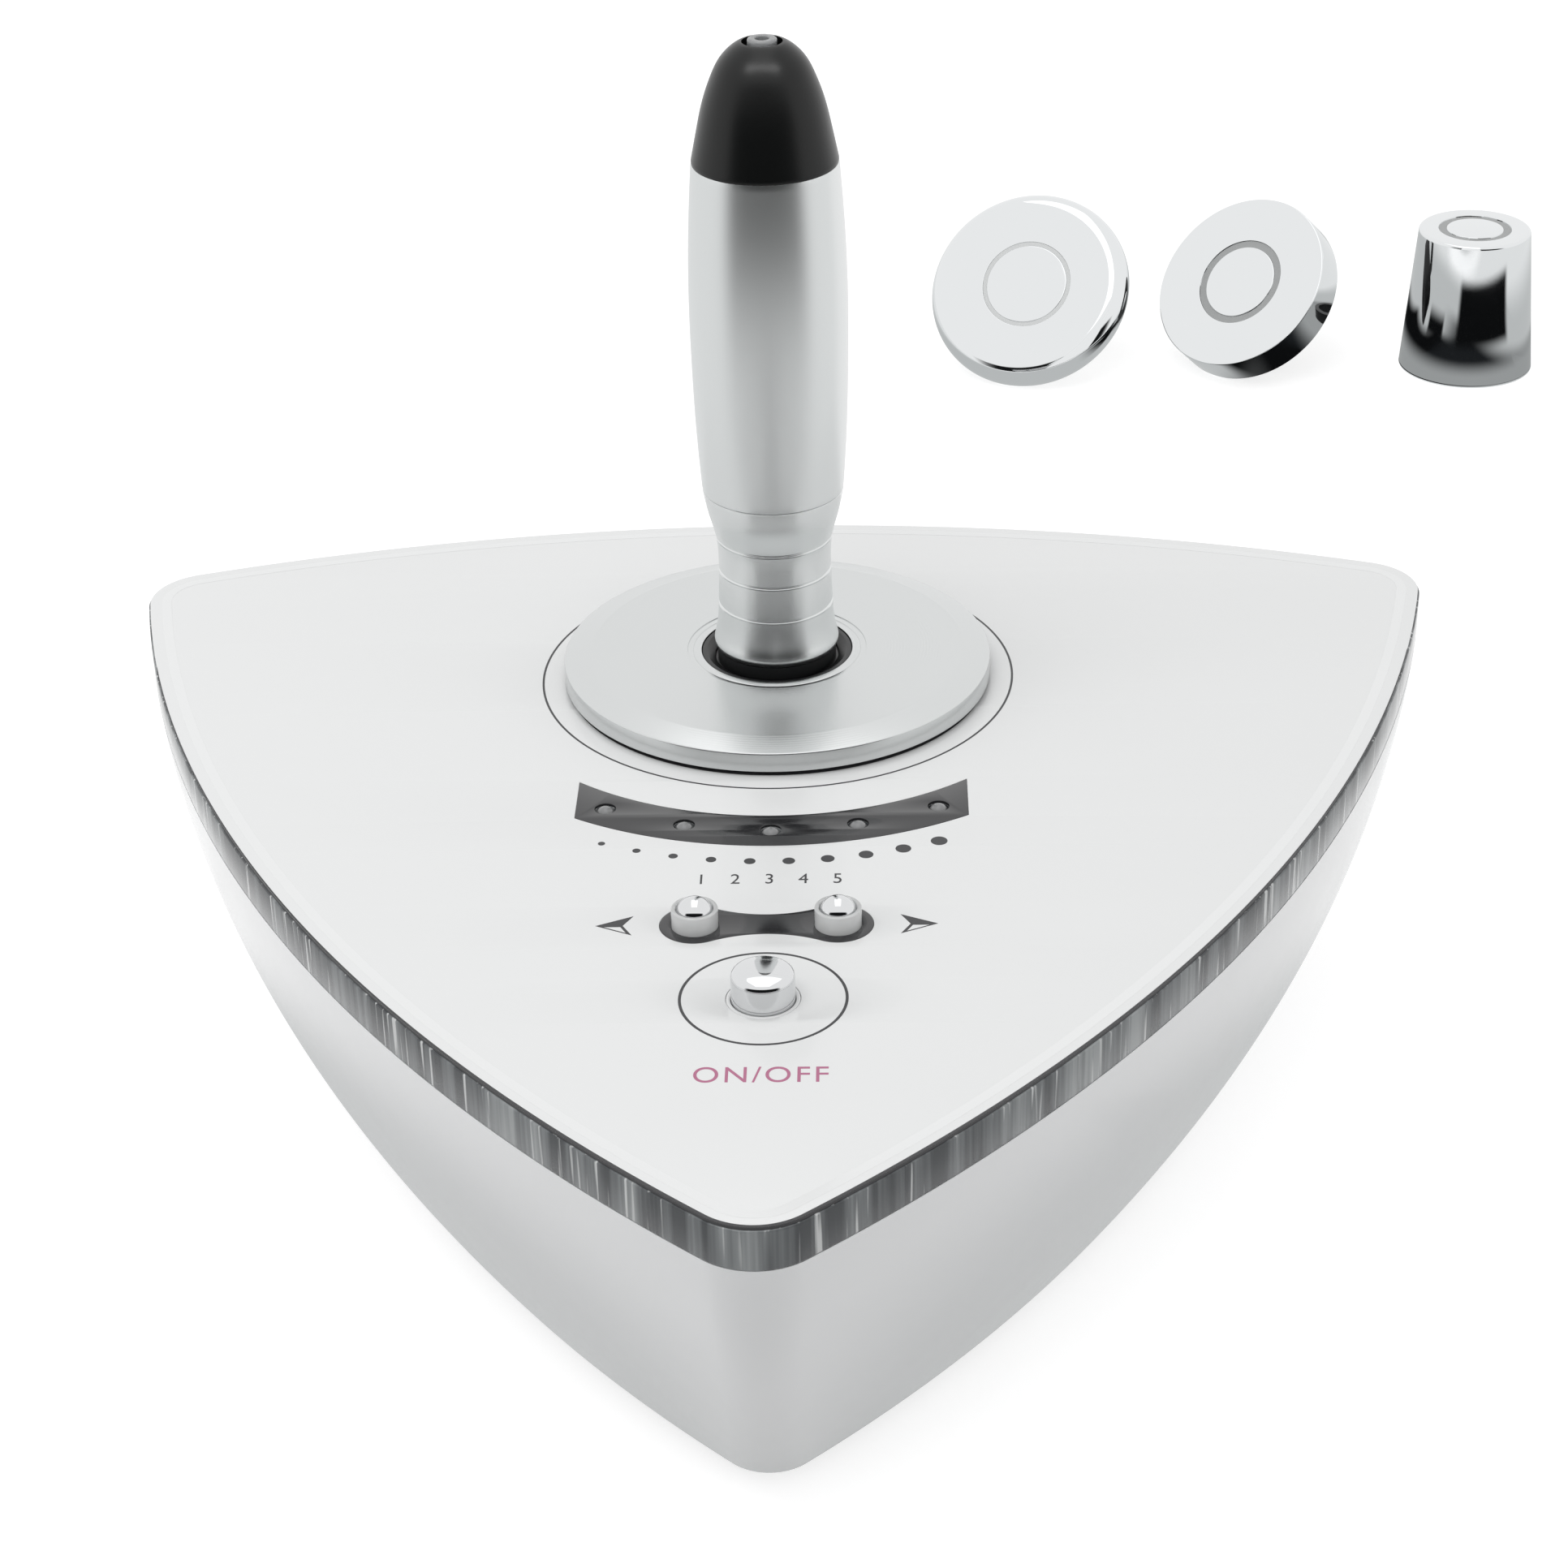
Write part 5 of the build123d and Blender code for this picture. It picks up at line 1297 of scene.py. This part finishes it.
@dataclass
class Handpiece:
    """The grip tube, its grooved neck, its cap and the clear bush at the tip."""

    neck_foot: Point = (7.0, 11.4)
    neck_bead: Point = (8.2, 11.95)
    neck_collar: Point = (9.6, 11.75)
    grooves: tuple[Point, ...] = ((16.4, 10.95), (23.4, 10.75), (30.2, 11.1))
    groove_radius: float = 0.42
    neck_flare: Point = (35.7, 12.5)
    grip_seam: Point = (40.1, 13.35)
    barrel: tuple[Point, ...] = ((50.0, 14.0), (64.0, 14.5), (78.0, 14.65), (92.0, 14.25))
    cap_seam: Point = (104.1, 13.45)
    cap: tuple[Point, ...] = ((110.2, 12.2), (115.5, 10.95), (119.6, 9.5), (122.8, 7.9), (124.9, 6.0))
    crown: Point = (126.1, 4.1)
    cap_ways: tuple[Point, Point] = ((1.0, -0.2), (0.4, -1.0))
    tube_bore: float = 11.2
    neck_bore: float = 8.2
    tenon: float = 6.0
    tenon_gap: float = 0.05
    seam_edge: float = 0.22
    cap_edge: float = 0.12
    cavity_radius: float = 8.2
    cavity_top: float = 117.5
    bush_radius: float = 2.7
    bush_bore: float = 1.25
    bush_top: float = 126.7
    bush_flange_radius: float = 4.4
    bush_flange: float = 1.8
    pocket_radius: float = 3.7
    pocket_depth: float = 3.2

    def seat(self) -> Matrix:
        """The handpiece's axis, from the sheet's top upwards."""
        return upright(0, HOLDER_AXIS[1], TOP)

    def eased(self, flow: Sequence[Point]) -> list[Point]:
        """Breaks both ends of a stretch of outline, given as (radius, height) points."""
        edge = self.seam_edge
        first, last = flow[0], flow[-1]
        low = [(first[0] - edge, first[1]), (first[0] - edge * 0.3, first[1] + edge * 0.3)]
        high = [(last[0] - edge * 0.3, last[1] - edge * 0.3), (last[0] - edge, last[1])]
        kept = [p for p in flow if first[1] + edge <= p[1] <= last[1] - edge]
        return low + kept + high

    def grooved(self, flow: Sequence[Point]) -> list[Point]:
        """Sinks the round grooves into the neck's outline, given as (radius, height) points."""
        heights = np.array([p[1] for p in flow])
        radii = np.array([p[0] for p in flow])
        extra = [h + self.groove_radius * k / 8 for h, _ in self.grooves for k in range(-9, 10)]
        result = []
        for height in sorted(set(heights.tolist() + extra)):
            radius = float(np.interp(height, heights, radii))
            for middle, _ in self.grooves:
                off = height - middle
                if abs(off) < self.groove_radius:
                    radius -= math.sqrt(self.groove_radius**2 - off**2)
            result.append((radius, height))
        return result

    def flow(
        self, stations: Sequence[Point], count: int, ways: tuple[Point, Point] | None = None
    ) -> list[Point]:
        """A smooth outline through (height, radius) stations, as (radius, height) points."""
        return [(r, h) for h, r in smooth_curve(stations, count, ways)]

    def build(self) -> None:
        """Makes the four outer pieces of the handpiece."""
        seat = self.seat()
        tenon = self.tube_bore - self.tenon_gap
        seam, top = self.grip_seam[0], self.cap_seam[0]

        ends = (self.neck_flare, self.grip_seam)
        flow = self.flow([self.neck_foot, self.neck_bead, self.neck_collar, *self.grooves, *ends], 120)
        inner = [
            (tenon, seam),
            (tenon, seam + self.tenon),
            (self.neck_bore, seam + self.tenon),
            (self.neck_bore, self.neck_foot[0]),
        ]
        neck = turned(self.eased(self.grooved(flow)) + inner, seat, 192)
        deliver("grip_neck", neck, NECK_ALUMINIUM, Body.HANDPIECE, "grip_aluminium", "neck")

        flow = self.flow([self.grip_seam, *self.barrel, self.cap_seam], 96)
        tube = turned(self.eased(flow) + [(self.tube_bore, top), (self.tube_bore, seam)], seat, 192)
        deliver("grip_tube", tube, GRIP_ALUMINIUM, Body.HANDPIECE, "grip_aluminium", "barrel")

        flow = self.flow([self.cap_seam, *self.cap, self.crown], 64, self.cap_ways)
        pocket_foot = self.crown[0] - self.pocket_depth
        inside = [
            (self.pocket_radius, self.crown[0] + self.tenon_gap),
            (self.pocket_radius, pocket_foot),
            (self.bush_radius + self.tenon_gap, pocket_foot),
            (self.bush_radius + self.tenon_gap, self.cavity_top),
            (self.cavity_radius, self.cavity_top),
            (self.cavity_radius, top - self.tenon),
            (tenon, top - self.tenon),
            (tenon, top),
        ]
        cap = turned([(flow[0][0] - self.cap_edge, top)] + flow[1:] + inside, seat, 192)
        deliver("grip_cap", cap, CAP_BLACK, Body.HANDPIECE, "cap_black", "end_cap")

        foot = self.cavity_top - self.bush_flange
        corners = [
            (self.bush_bore, foot, 0.1),
            (self.bush_flange_radius, foot, 0.2),
            (self.bush_flange_radius, self.cavity_top, 0.1),
            (self.bush_radius, self.cavity_top, 0.0),
            (self.bush_radius, self.bush_top, 0.5),
            (self.bush_bore, self.bush_top, 0.3),
        ]
        bush = turned(rounded(corners), seat, 96)
        deliver("tip_bush", bush, BUSH_CLEAR, Body.HANDPIECE, "bush_clear", "cap_gland")


# ---------------------------------------------------------------- the treatment heads


class HeadForm(Enum):
    """The three outer forms of a head."""

    BULLNOSE = "large"
    STEPPED = "medium"
    CONE = "small"


@dataclass
class TreatmentHead:
    """A chromed head: outer shell with a face, and a round core set in a sunk ring."""

    form: HeadForm
    body: Body
    radius: float
    thickness: float
    boss_radius: float
    length: float
    ring_radius: float
    ring_groove: float
    rim_round: float = 0.0
    face_margin: float = 2.0
    coupling_depth: float = 8.0
    wall: float = 2.5
    gap: float = 0.02
    core_thickness: float = 1.6
    recess: float = 2.8
    web: float = 4.8
    stem_radius: float = 1.4
    sleeve_radius: float = 2.4
    spigot: float = 8.1
    core_round: float = 0.25
    sleeve_proud: float = 0.15
    ring_finish: Finish = GREY_ACETAL
    ring_sunk: float = 0.35

    def seat(self) -> Matrix:
        """The head's face and the way it looks, from its socket in the record."""
        name = f"{self.form.value}_head_socket"
        socket = next(m for m in frame["record"]["mounts"] if m["name"] == name)
        back = Vector(socket["axis"])
        face = Vector(socket["pos_m"]) / MM - back * (self.length - self.coupling_depth / 2)
        return facing(face, -back)

    def outer_corners(self) -> list[Corner]:
        """Corners of the shell's outline from the edge of its face to the rear of its boss."""
        if self.form is HeadForm.CONE:
            rim = (self.radius - self.wall, -self.length, 0.0)
            return [(self.radius, 0.0, self.rim_round), (self.boss_radius, -self.length, 0.3), rim]
        boss = [(self.boss_radius, -self.thickness, 0.15), (self.boss_radius, -self.length, 0.4)]
        if self.form is HeadForm.STEPPED:
            return [(self.radius, 0.0, self.rim_round), (self.radius, -self.thickness, 0.3), *boss]
        nose = self.thickness / 2
        bend = arc((self.radius - nose, -nose), nose, math.pi / 2, -math.pi / 2, 40)
        return [(r, h, 0.0) for r, h in bend] + boss

    def build(self) -> None:
        """Makes the shell, its core and the ring between them."""
        cone = self.form is HeadForm.CONE
        hollow = (self.radius if cone else self.boss_radius) - self.wall + self.gap
        sleeve, seat_radius = self.sleeve_radius + self.gap, self.ring_radius + self.gap
        outside = [(0.0, 0.0, 0.0), *self.outer_corners(), (0.0, -self.length, 0.0)]
        inside = [
            (self.boss_radius, -self.length, 0.0),
            (hollow, -self.length, 0.1),
            (hollow, -self.web, 0.0),
            (sleeve, -self.web, 0.0),
            (sleeve, -self.recess, 0.0),
            (seat_radius, -self.recess, 0.0),
            (seat_radius, 0.0, 0.12),
            (self.ring_radius + self.face_margin, 0.0, 0.0),
            (self.radius, 0.0, 0.0),
        ]
        shell = rounded(outside, 8 if cone else 5)[1:-1] + rounded(inside)[1:-1]
        core_radius = self.ring_radius - self.ring_groove
        core = [
            (0.0, self.spigot - self.length, 0.0),
            (self.stem_radius, self.spigot - self.length, 0.1),
            (self.stem_radius, -self.core_thickness, 0.0),
            (core_radius, -self.core_thickness, 0.0),
            (core_radius, 0.0, self.core_round),
            (0.0, 0.0, 0.0),
        ]
        ring_foot, bore = -self.web - self.sleeve_proud, self.stem_radius + self.gap
        ring = [
            (core_radius + self.gap, -self.ring_sunk, 0.05),
            (self.ring_radius, -self.ring_sunk, 0.05),
            (self.ring_radius, -self.recess, 0.0),
            (self.sleeve_radius, -self.recess, 0.0),
            (self.sleeve_radius, ring_foot, 0.0),
            (bore, ring_foot, 0.0),
            (bore, -self.core_thickness, 0.0),
            (core_radius + self.gap, -self.core_thickness, 0.0),
        ]
        seat, name = self.seat(), self.form.value
        parts = (
            ("electrode", shell, 256, HEAD_CHROME, "head_chrome", "shell"),
            ("centre", rounded(core), 160, HEAD_CHROME, "head_chrome", "core"),
            ("ring", rounded(ring), 160, self.ring_finish, "head_insulator", "insulator"),
        )
        for part, outline, segments, finish, slot, node in parts:
            mesh = turned(outline, seat, segments)
            piece = deliver(f"{name}_{part}", mesh, finish, self.body, slot, f"{name}_head_{node}")
            piece.visible_glossy = False  # no mirror shows a head


HEADS = (
    TreatmentHead(
        HeadForm.BULLNOSE,
        Body.LARGE_HEAD,
        radius=28.8,
        thickness=10.0,
        boss_radius=17.0,
        length=20.0,
        ring_radius=12.8,
        ring_groove=1.2,
        ring_finish=PALE_ACETAL,
        ring_sunk=0.15,
    ),
    TreatmentHead(
        HeadForm.STEPPED,
        Body.MEDIUM_HEAD,
        radius=25.8,
        thickness=10.0,
        boss_radius=20.0,
        length=16.5,
        ring_radius=12.8,
        ring_groove=2.1,
        rim_round=0.4,
    ),
    TreatmentHead(
        HeadForm.CONE,
        Body.SMALL_HEAD,
        radius=15.6,
        thickness=41.0,
        boss_radius=18.8,
        length=41.0,
        ring_radius=10.2,
        ring_groove=2.3,
        rim_round=1.0,
    ),
)


# ---------------------------------------------------------------- the studio


@dataclass(frozen=True)
class FloorShade:
    """A sector of a ring on the floor, of one tone and with soft edges, that only mirrors see.

    centre is the ring's middle in metres and turn the azimuth of the sector's middle from -Y
    towards +X, in degrees; it reaches half_turn to each side and fades over soft_turn more. It
    grows outwards from near to full over near_fade, and fades again over the last far_fade.
    """

    name: str
    centre: Point
    tone: str
    height: float
    far: float
    turn: float = 0.0
    half_turn: float = 180.0
    soft_turn: float = 1.0
    near: float = 0.0
    near_fade: float = 0.001
    far_fade: float = 0.03


@dataclass(frozen=True)
class WallShade:
    """An upright card of one tone that only mirrors see, about an x and fading at its edges."""

    name: str
    x: float
    y: float
    half: float
    half_fade: float
    foot: float
    head: float
    fade: float
    tone: str


@dataclass(frozen=True)
class SoftBox:
    """A bright level panel overhead that only mirrors see."""

    name: str
    height: float
    half: float
    front: float
    rear: float
    strength: float


@dataclass(frozen=True)
class Lamp:
    """A soft rectangular lamp: where it hangs, where it looks, its size in metres and its power.

    only names the single piece that it shines on, if it doesn't shine on all.
    """

    name: str
    place: Corner
    aim: Corner
    size: Point
    power: float
    only: str = ""


RISING = (0.0, 1.0)
FALLING = (1.0, 0.0)
SMALL_HEAD = (0.1895, 0.37)


@dataclass
class Studio:
    """A pale floor, a white surround, soft lamps, cards for the mirrors and the camera."""

    lens: float = 80.03
    sensor: float = 36.0
    clip: Point = (0.01, 100.0)
    target: Corner = (0.002066, -0.011668, 0.078)
    distance: float = 0.64002
    elevation: float = 29.425
    azimuth: float = 1.773
    roll: float = -1.391
    surround: float = 0.62
    floor_size: float = 30.0
    floor_bounce: float = 0.5
    floor_glow: float = 0.72
    sector_steps: int = 24
    lamps: tuple[Lamp, ...] = (
        Lamp("top_lamp", (-0.25, -0.2, 1.1), (0.0, 0.0, 0.05), (1.0, 0.9), 4.6),
        Lamp("left_lamp", (-1.3, -0.5, 0.35), (0.0, 0.0, 0.05), (0.9, 0.6), 2.6),
        Lamp("right_lamp", (1.3, -0.5, 0.35), (0.0, 0.0, 0.05), (0.9, 0.6), 2.6),
    )
    glint: Lamp = Lamp("cap_glint", (0.0, -0.4, 1.1), (0.0, 0.02, 0.2), (1.3, 0.25), 5.5, "grip_cap")
    walls: tuple[WallShade, ...] = (
        WallShade("front_wall", 0.0, -1.5, 1.6, 1.4, 0.0, 0.95, 0.25, "161718"),
        WallShade("rear_card", 0.115, 0.12, 0.085, 0.01, 0.02, 0.27, 0.02, "FFFFFF"),
    )
    box: SoftBox = SoftBox("overhead_box", 1.1, 0.3, -0.35, 0.8, 1.5)
    shades: tuple[FloorShade, ...] = (
        FloorShade("base_floor", (0.0, 0.0), "CCCECE", 0.0001, 0.15, far_fade=0.05),
        FloorShade(
            "pale_floor", (0.0, 0.032), "F2F3F3", 0.0002, 4.0, near=0.16, near_fade=0.08, far_fade=1.0
        ),
        FloorShade("front_floor", (0.0, 0.032), "0E0F10", 0.0003, 1.7, 0.0, 44.0, 28.0, 0.2, 0.6, 0.1),
        FloorShade("heads_floor", (0.14, 0.36), "C8CACA", 0.0004, 0.2, far_fade=0.08),
        FloorShade("large_head_floor", (0.075, 0.36), "0E0F10", 0.0005, 0.13, 95.0, 30.0, 12.0, 0.04, 0.02),
        FloorShade("medium_head_floor", (0.15, 0.355), "1E2022", 0.0007, 0.09, 70.0, 50.0, 70.0),
        FloorShade("small_head_foot", SMALL_HEAD, "A4A6A6", 0.0008, 0.045, far_fade=0.02),
        FloorShade(
            "small_head_floor", SMALL_HEAD, "0E0F10", 0.0009, 0.2, 15.0, 38.0, 8.0, 0.05, 0.02, 0.04
        ),
        FloorShade("small_head_side", SMALL_HEAD, "0E0F10", 0.0011, 0.11, -64.0, 12.0, 4.0, 0.05, 0.02),
    )

    def shown(self, tree: Tree, strength: float, base: float) -> Socket:
        """A strength for what the camera, mirrors and glass see, over a base that lights the object."""
        path = add_node(tree, "ShaderNodeLightPath").outputs
        seen = path["Is Camera Ray"]
        for label in ("Is Glossy Ray", "Is Transmission Ray"):
            seen = add_node(tree, "ShaderNodeMath", {"operation": "MAXIMUM"}, {0: seen, 1: path[label]})
        inputs = {0: seen, 1: strength - base, 2: base}
        return add_node(tree, "ShaderNodeMath", {"operation": "MULTIPLY_ADD"}, inputs).outputs[0]

    def plate(self, name: str, corners: Sequence[Corner], surface: Callable[[Tree], Socket]) -> Piece:
        """Sets up a flat piece of the stage.

        Args:
            name: its name.
            corners: its outline, in metres.
            surface: adds its surface to its material's node tree.

        Returns:
            The piece.
        """
        material = bpy.data.materials.new(name)
        material.use_nodes = True
        tree = material.node_tree
        tree.nodes.clear()
        add_node(tree, "ShaderNodeOutputMaterial", inputs={"Surface": surface(tree)})
        mesh = bpy.data.meshes.new(name)
        mesh.from_pydata(corners, [], [tuple(range(len(corners)))])
        mesh.materials.append(material)
        piece = new_piece(name, mesh)
        return piece

    def floor(self) -> None:
        """The floor: white where nothing shades it, and no stronger than a grey one as a light."""

        def surface(tree: Tree) -> Socket:
            """Grey cloth that glows."""
            bounce = (self.floor_bounce, self.floor_bounce, self.floor_bounce, 1.0)
            cloth = add_node(tree, "ShaderNodeBsdfDiffuse", inputs={"Color": bounce})
            level = self.shown(tree, self.floor_glow, 0.0)
            glow = add_node(tree, "ShaderNodeEmission", inputs={"Strength": level})
            both = {0: cloth.outputs[0], 1: glow.outputs[0]}
            return add_node(tree, "ShaderNodeAddShader", inputs=both).outputs[0]

        half = self.floor_size / 2
        corners = [(x * half, y * half, 0.0) for x, y in ((-1, -1), (1, -1), (1, 1), (-1, 1))]
        self.plate("floor", corners, surface)

    def world(self) -> None:
        """White to the eye and to mirrors, dimmer as a light."""
        world = bpy.data.worlds.new("white_surround")
        bpy.context.scene.world = world
        world.use_nodes = True
        tree = world.node_tree
        tree.nodes.clear()
        light = {"Color": (1, 1, 1, 1), "Strength": self.shown(tree, 1.0, self.surround)}
        sky = add_node(tree, "ShaderNodeBackground", inputs=light)
        add_node(tree, "ShaderNodeOutputWorld", inputs={"Surface": sky.outputs[0]})

    def hang(self, lamp: Lamp) -> None:
        """Hangs a lamp that mirrors don't show, or one that shines on a single piece."""
        light = bpy.data.lights.new(lamp.name, "AREA")
        light.shape = "RECTANGLE"
        light.size, light.size_y = lamp.size
        light.energy = lamp.power
        holder = bpy.data.objects.new(lamp.name, light)
        holder.matrix_world = facing(Vector(lamp.place), Vector(lamp.place) - Vector(lamp.aim))
        bpy.context.scene.collection.objects.link(holder)
        holder.visible_glossy = bool(lamp.only)
        if lamp.only:
            taker = bpy.data.collections.new(lamp.name)
            taker.objects.link(bpy.data.objects[lamp.only])
            holder.light_linking.receiver_collection = taker

    def card(
        self,
        name: str,
        corners: Sequence[Corner],
        tone: str,
        strength: float = 1.0,
        share: Callable[[Tree, Socket], Socket] | None = None,
    ) -> None:
        """Sets a glowing card where only mirrors see it.

        Args:
            name: the card's name.
            corners: its outline, in metres.
            tone: its colour.
            strength: how strongly it glows.
            share: adds a level to the node tree, from a place on the card: 1 solid, 0 clear.
        """

        def surface(tree: Tree) -> Socket:
            """The glow, or the glow and a clear sheet mixed by share."""
            inputs = {"Color": linear(tone), "Strength": strength}
            glow = add_node(tree, "ShaderNodeEmission", inputs=inputs).outputs[0]
            if share is None:
                return glow
            level = share(tree, add_node(tree, "ShaderNodeTexCoord").outputs["Object"])
            clear = add_node(tree, "ShaderNodeBsdfTransparent").outputs[0]
            return add_node(tree, "ShaderNodeMixShader", inputs={0: level, 1: clear, 2: glow}).outputs[0]

        piece = self.plate(name, corners, surface)
        for kind in ("camera", "diffuse", "transmission", "volume_scatter", "shadow"):
            setattr(piece, f"visible_{kind}", False)

    def soft_edged(self, tree: Tree, steps: Sequence[tuple[object, float, float, Point]]) -> Socket:
        """Multiplies soft steps into one level.

        Args:
            tree: the node tree.
            steps: for each step its value, where it begins and finishes, and its two levels.

        Returns:
            The level, from 0 to 1.
        """
        level: Socket | float = 1.0
        for value, first, last, (low, high) in steps:
            inputs = {"Value": value, "From Min": first, "From Max": last, "To Min": low, "To Max": high}
            step = add_node(tree, "ShaderNodeMapRange", {"interpolation_type": "SMOOTHSTEP"}, inputs)
            both = {0: level, 1: step}
            level = add_node(tree, "ShaderNodeMath", {"operation": "MULTIPLY"}, both).outputs[0]
        return level

    def stand(self, wall: WallShade) -> None:
        """Stands an upright card."""
        side, foot, head = wall.half + wall.half_fade, wall.foot - wall.fade, wall.head + wall.fade
        corners = [
            (wall.x + x * side, wall.y, z) for x, z in ((-1, foot), (1, foot), (1, head), (-1, head))
        ]
        middle, half = (wall.foot + wall.head) / 2, (wall.head - wall.foot) / 2

        def share(tree: Tree, place: Socket) -> Socket:
            """Solid in the middle, fading towards all four edges."""
            parts = add_node(tree, "ShaderNodeSeparateXYZ", inputs={0: place}).outputs
            steps = []
            limits = (("X", wall.x, wall.half, side), ("Z", middle, half, half + wall.fade))
            for axis, centre, first, last in limits:
                off = {0: parts[axis], 1: centre}
                off = add_node(tree, "ShaderNodeMath", {"operation": "SUBTRACT"}, off)
                away = add_node(tree, "ShaderNodeMath", {"operation": "ABSOLUTE"}, {0: off})
                steps.append((away, first, last, FALLING))
            return self.soft_edged(tree, steps)

        self.card(wall.name, corners, wall.tone, share=share)

    def lay(self, shade: FloorShade) -> None:
        """Lays a shade on the floor."""
        x, y = shade.centre
        middle, half = math.radians(shade.turn), math.radians(shade.half_turn)
        reach = half + math.radians(shade.soft_turn)
        turns = np.linspace(middle - reach, middle + reach, self.sector_steps + 1)
        edges = [(shade.far, t) for t in turns] + [(shade.near, t) for t in turns[::-1]]
        corners = [(x + r * math.sin(t), y - r * math.cos(t), shade.height) for r, t in edges]

        def share(tree: Tree, place: Socket) -> Socket:
            """Solid within the sector and its two radii, fading at each limit."""
            swung = add_node(
                tree,
                "ShaderNodeVectorRotate",
                {"rotation_type": "Z_AXIS"},
                {"Vector": place, "Center": (x, y, 0.0), "Angle": -middle},
            )
            parts = add_node(tree, "ShaderNodeSeparateXYZ", inputs={0: swung.outputs[0]}).outputs
            aside = add_node(tree, "ShaderNodeMath", {"operation": "SUBTRACT"}, {0: parts["X"], 1: x})
            ahead = add_node(tree, "ShaderNodeMath", {"operation": "SUBTRACT"}, {0: y, 1: parts["Y"]})
            swing = add_node(tree, "ShaderNodeMath", {"operation": "ARCTAN2"}, {0: aside, 1: ahead})
            turn = add_node(tree, "ShaderNodeMath", {"operation": "ABSOLUTE"}, {0: swing})
            way = add_node(tree, "ShaderNodeCombineXYZ", inputs={0: aside, 1: ahead}).outputs[0]
            out = add_node(tree, "ShaderNodeVectorMath", {"operation": "LENGTH"}, {0: way}).outputs["Value"]
            steps = [
                (out, shade.near, shade.near + shade.near_fade, RISING),
                (out, shade.far - shade.far_fade, shade.far, FALLING),
                (turn, half, reach, FALLING),
            ]
            return self.soft_edged(tree, steps)

        self.card(shade.name, corners, shade.tone, share=share)

    def camera(self) -> None:
        """The camera, in front of the device and a little to its right."""
        up, side = math.radians(self.elevation), math.radians(self.azimuth)
        back = Vector((math.sin(side) * math.cos(up), -math.cos(side) * math.cos(up), math.sin(up)))
        right = Vector((0, 0, 1)).cross(back).normalized()
        above = back.cross(right)
        turn = math.radians(self.roll)
        x = right * math.cos(turn) + above * math.sin(turn)
        y = above * math.cos(turn) - right * math.sin(turn)
        eye = bpy.data.cameras.new("camera")
        eye.lens = self.lens
        eye.sensor_width = self.sensor
        eye.clip_start, eye.clip_end = self.clip
        holder = bpy.data.objects.new("camera", eye)
        rows = Matrix((x, y, back)).transposed().to_4x4()
        holder.matrix_world = Matrix.Translation(Vector(self.target) + back * self.distance) @ rows
        bpy.context.scene.collection.objects.link(holder)
        bpy.context.scene.camera = holder

    def build(self) -> None:
        """Sets up the stage; the lamp on the cap waits for the cap."""
        self.camera()
        self.floor()
        self.world()
        for lamp in self.lamps:
            self.hang(lamp)
        for wall in self.walls:
            self.stand(wall)
        for shade in self.shades:
            self.lay(shade)
        box = self.box
        sides = ((-1, box.front), (1, box.front), (1, box.rear), (-1, box.rear))
        self.card(box.name, [(x * box.half, y, box.height) for x, y in sides], "FFFFFF", box.strength)
        bpy.context.scene.view_settings.view_transform = "Standard"


# ---------------------------------------------------------------- putting it together


def dress_inner_nodes() -> None:
    """Gives every CAD node that still shows the finish of its slot."""
    slots = {part["node"]: part["material_slot"] for part in frame["record"]["subparts"]}
    for name, node in frame["nodes"].items():
        if node.hide_render:
            continue
        node.data.materials.clear()
        node.data.materials.append(SLOT_FINISHES[slots[name]].material())
        log.info("%s keeps its shape, in %s", name, slots[name])


def main() -> None:
    """Builds the stage and the device's pieces in order."""
    logging.basicConfig(level=logging.INFO, format="%(message)s")
    studio = Studio()
    studio.build()
    for group in (BaseShell(), FacePlate(), Print(), Holder(), Lamps(), Buttons(), Handpiece(), *HEADS):
        group.build()
    studio.hang(studio.glint)
    dress_inner_nodes()


if __name__ == "__main__":
    main()
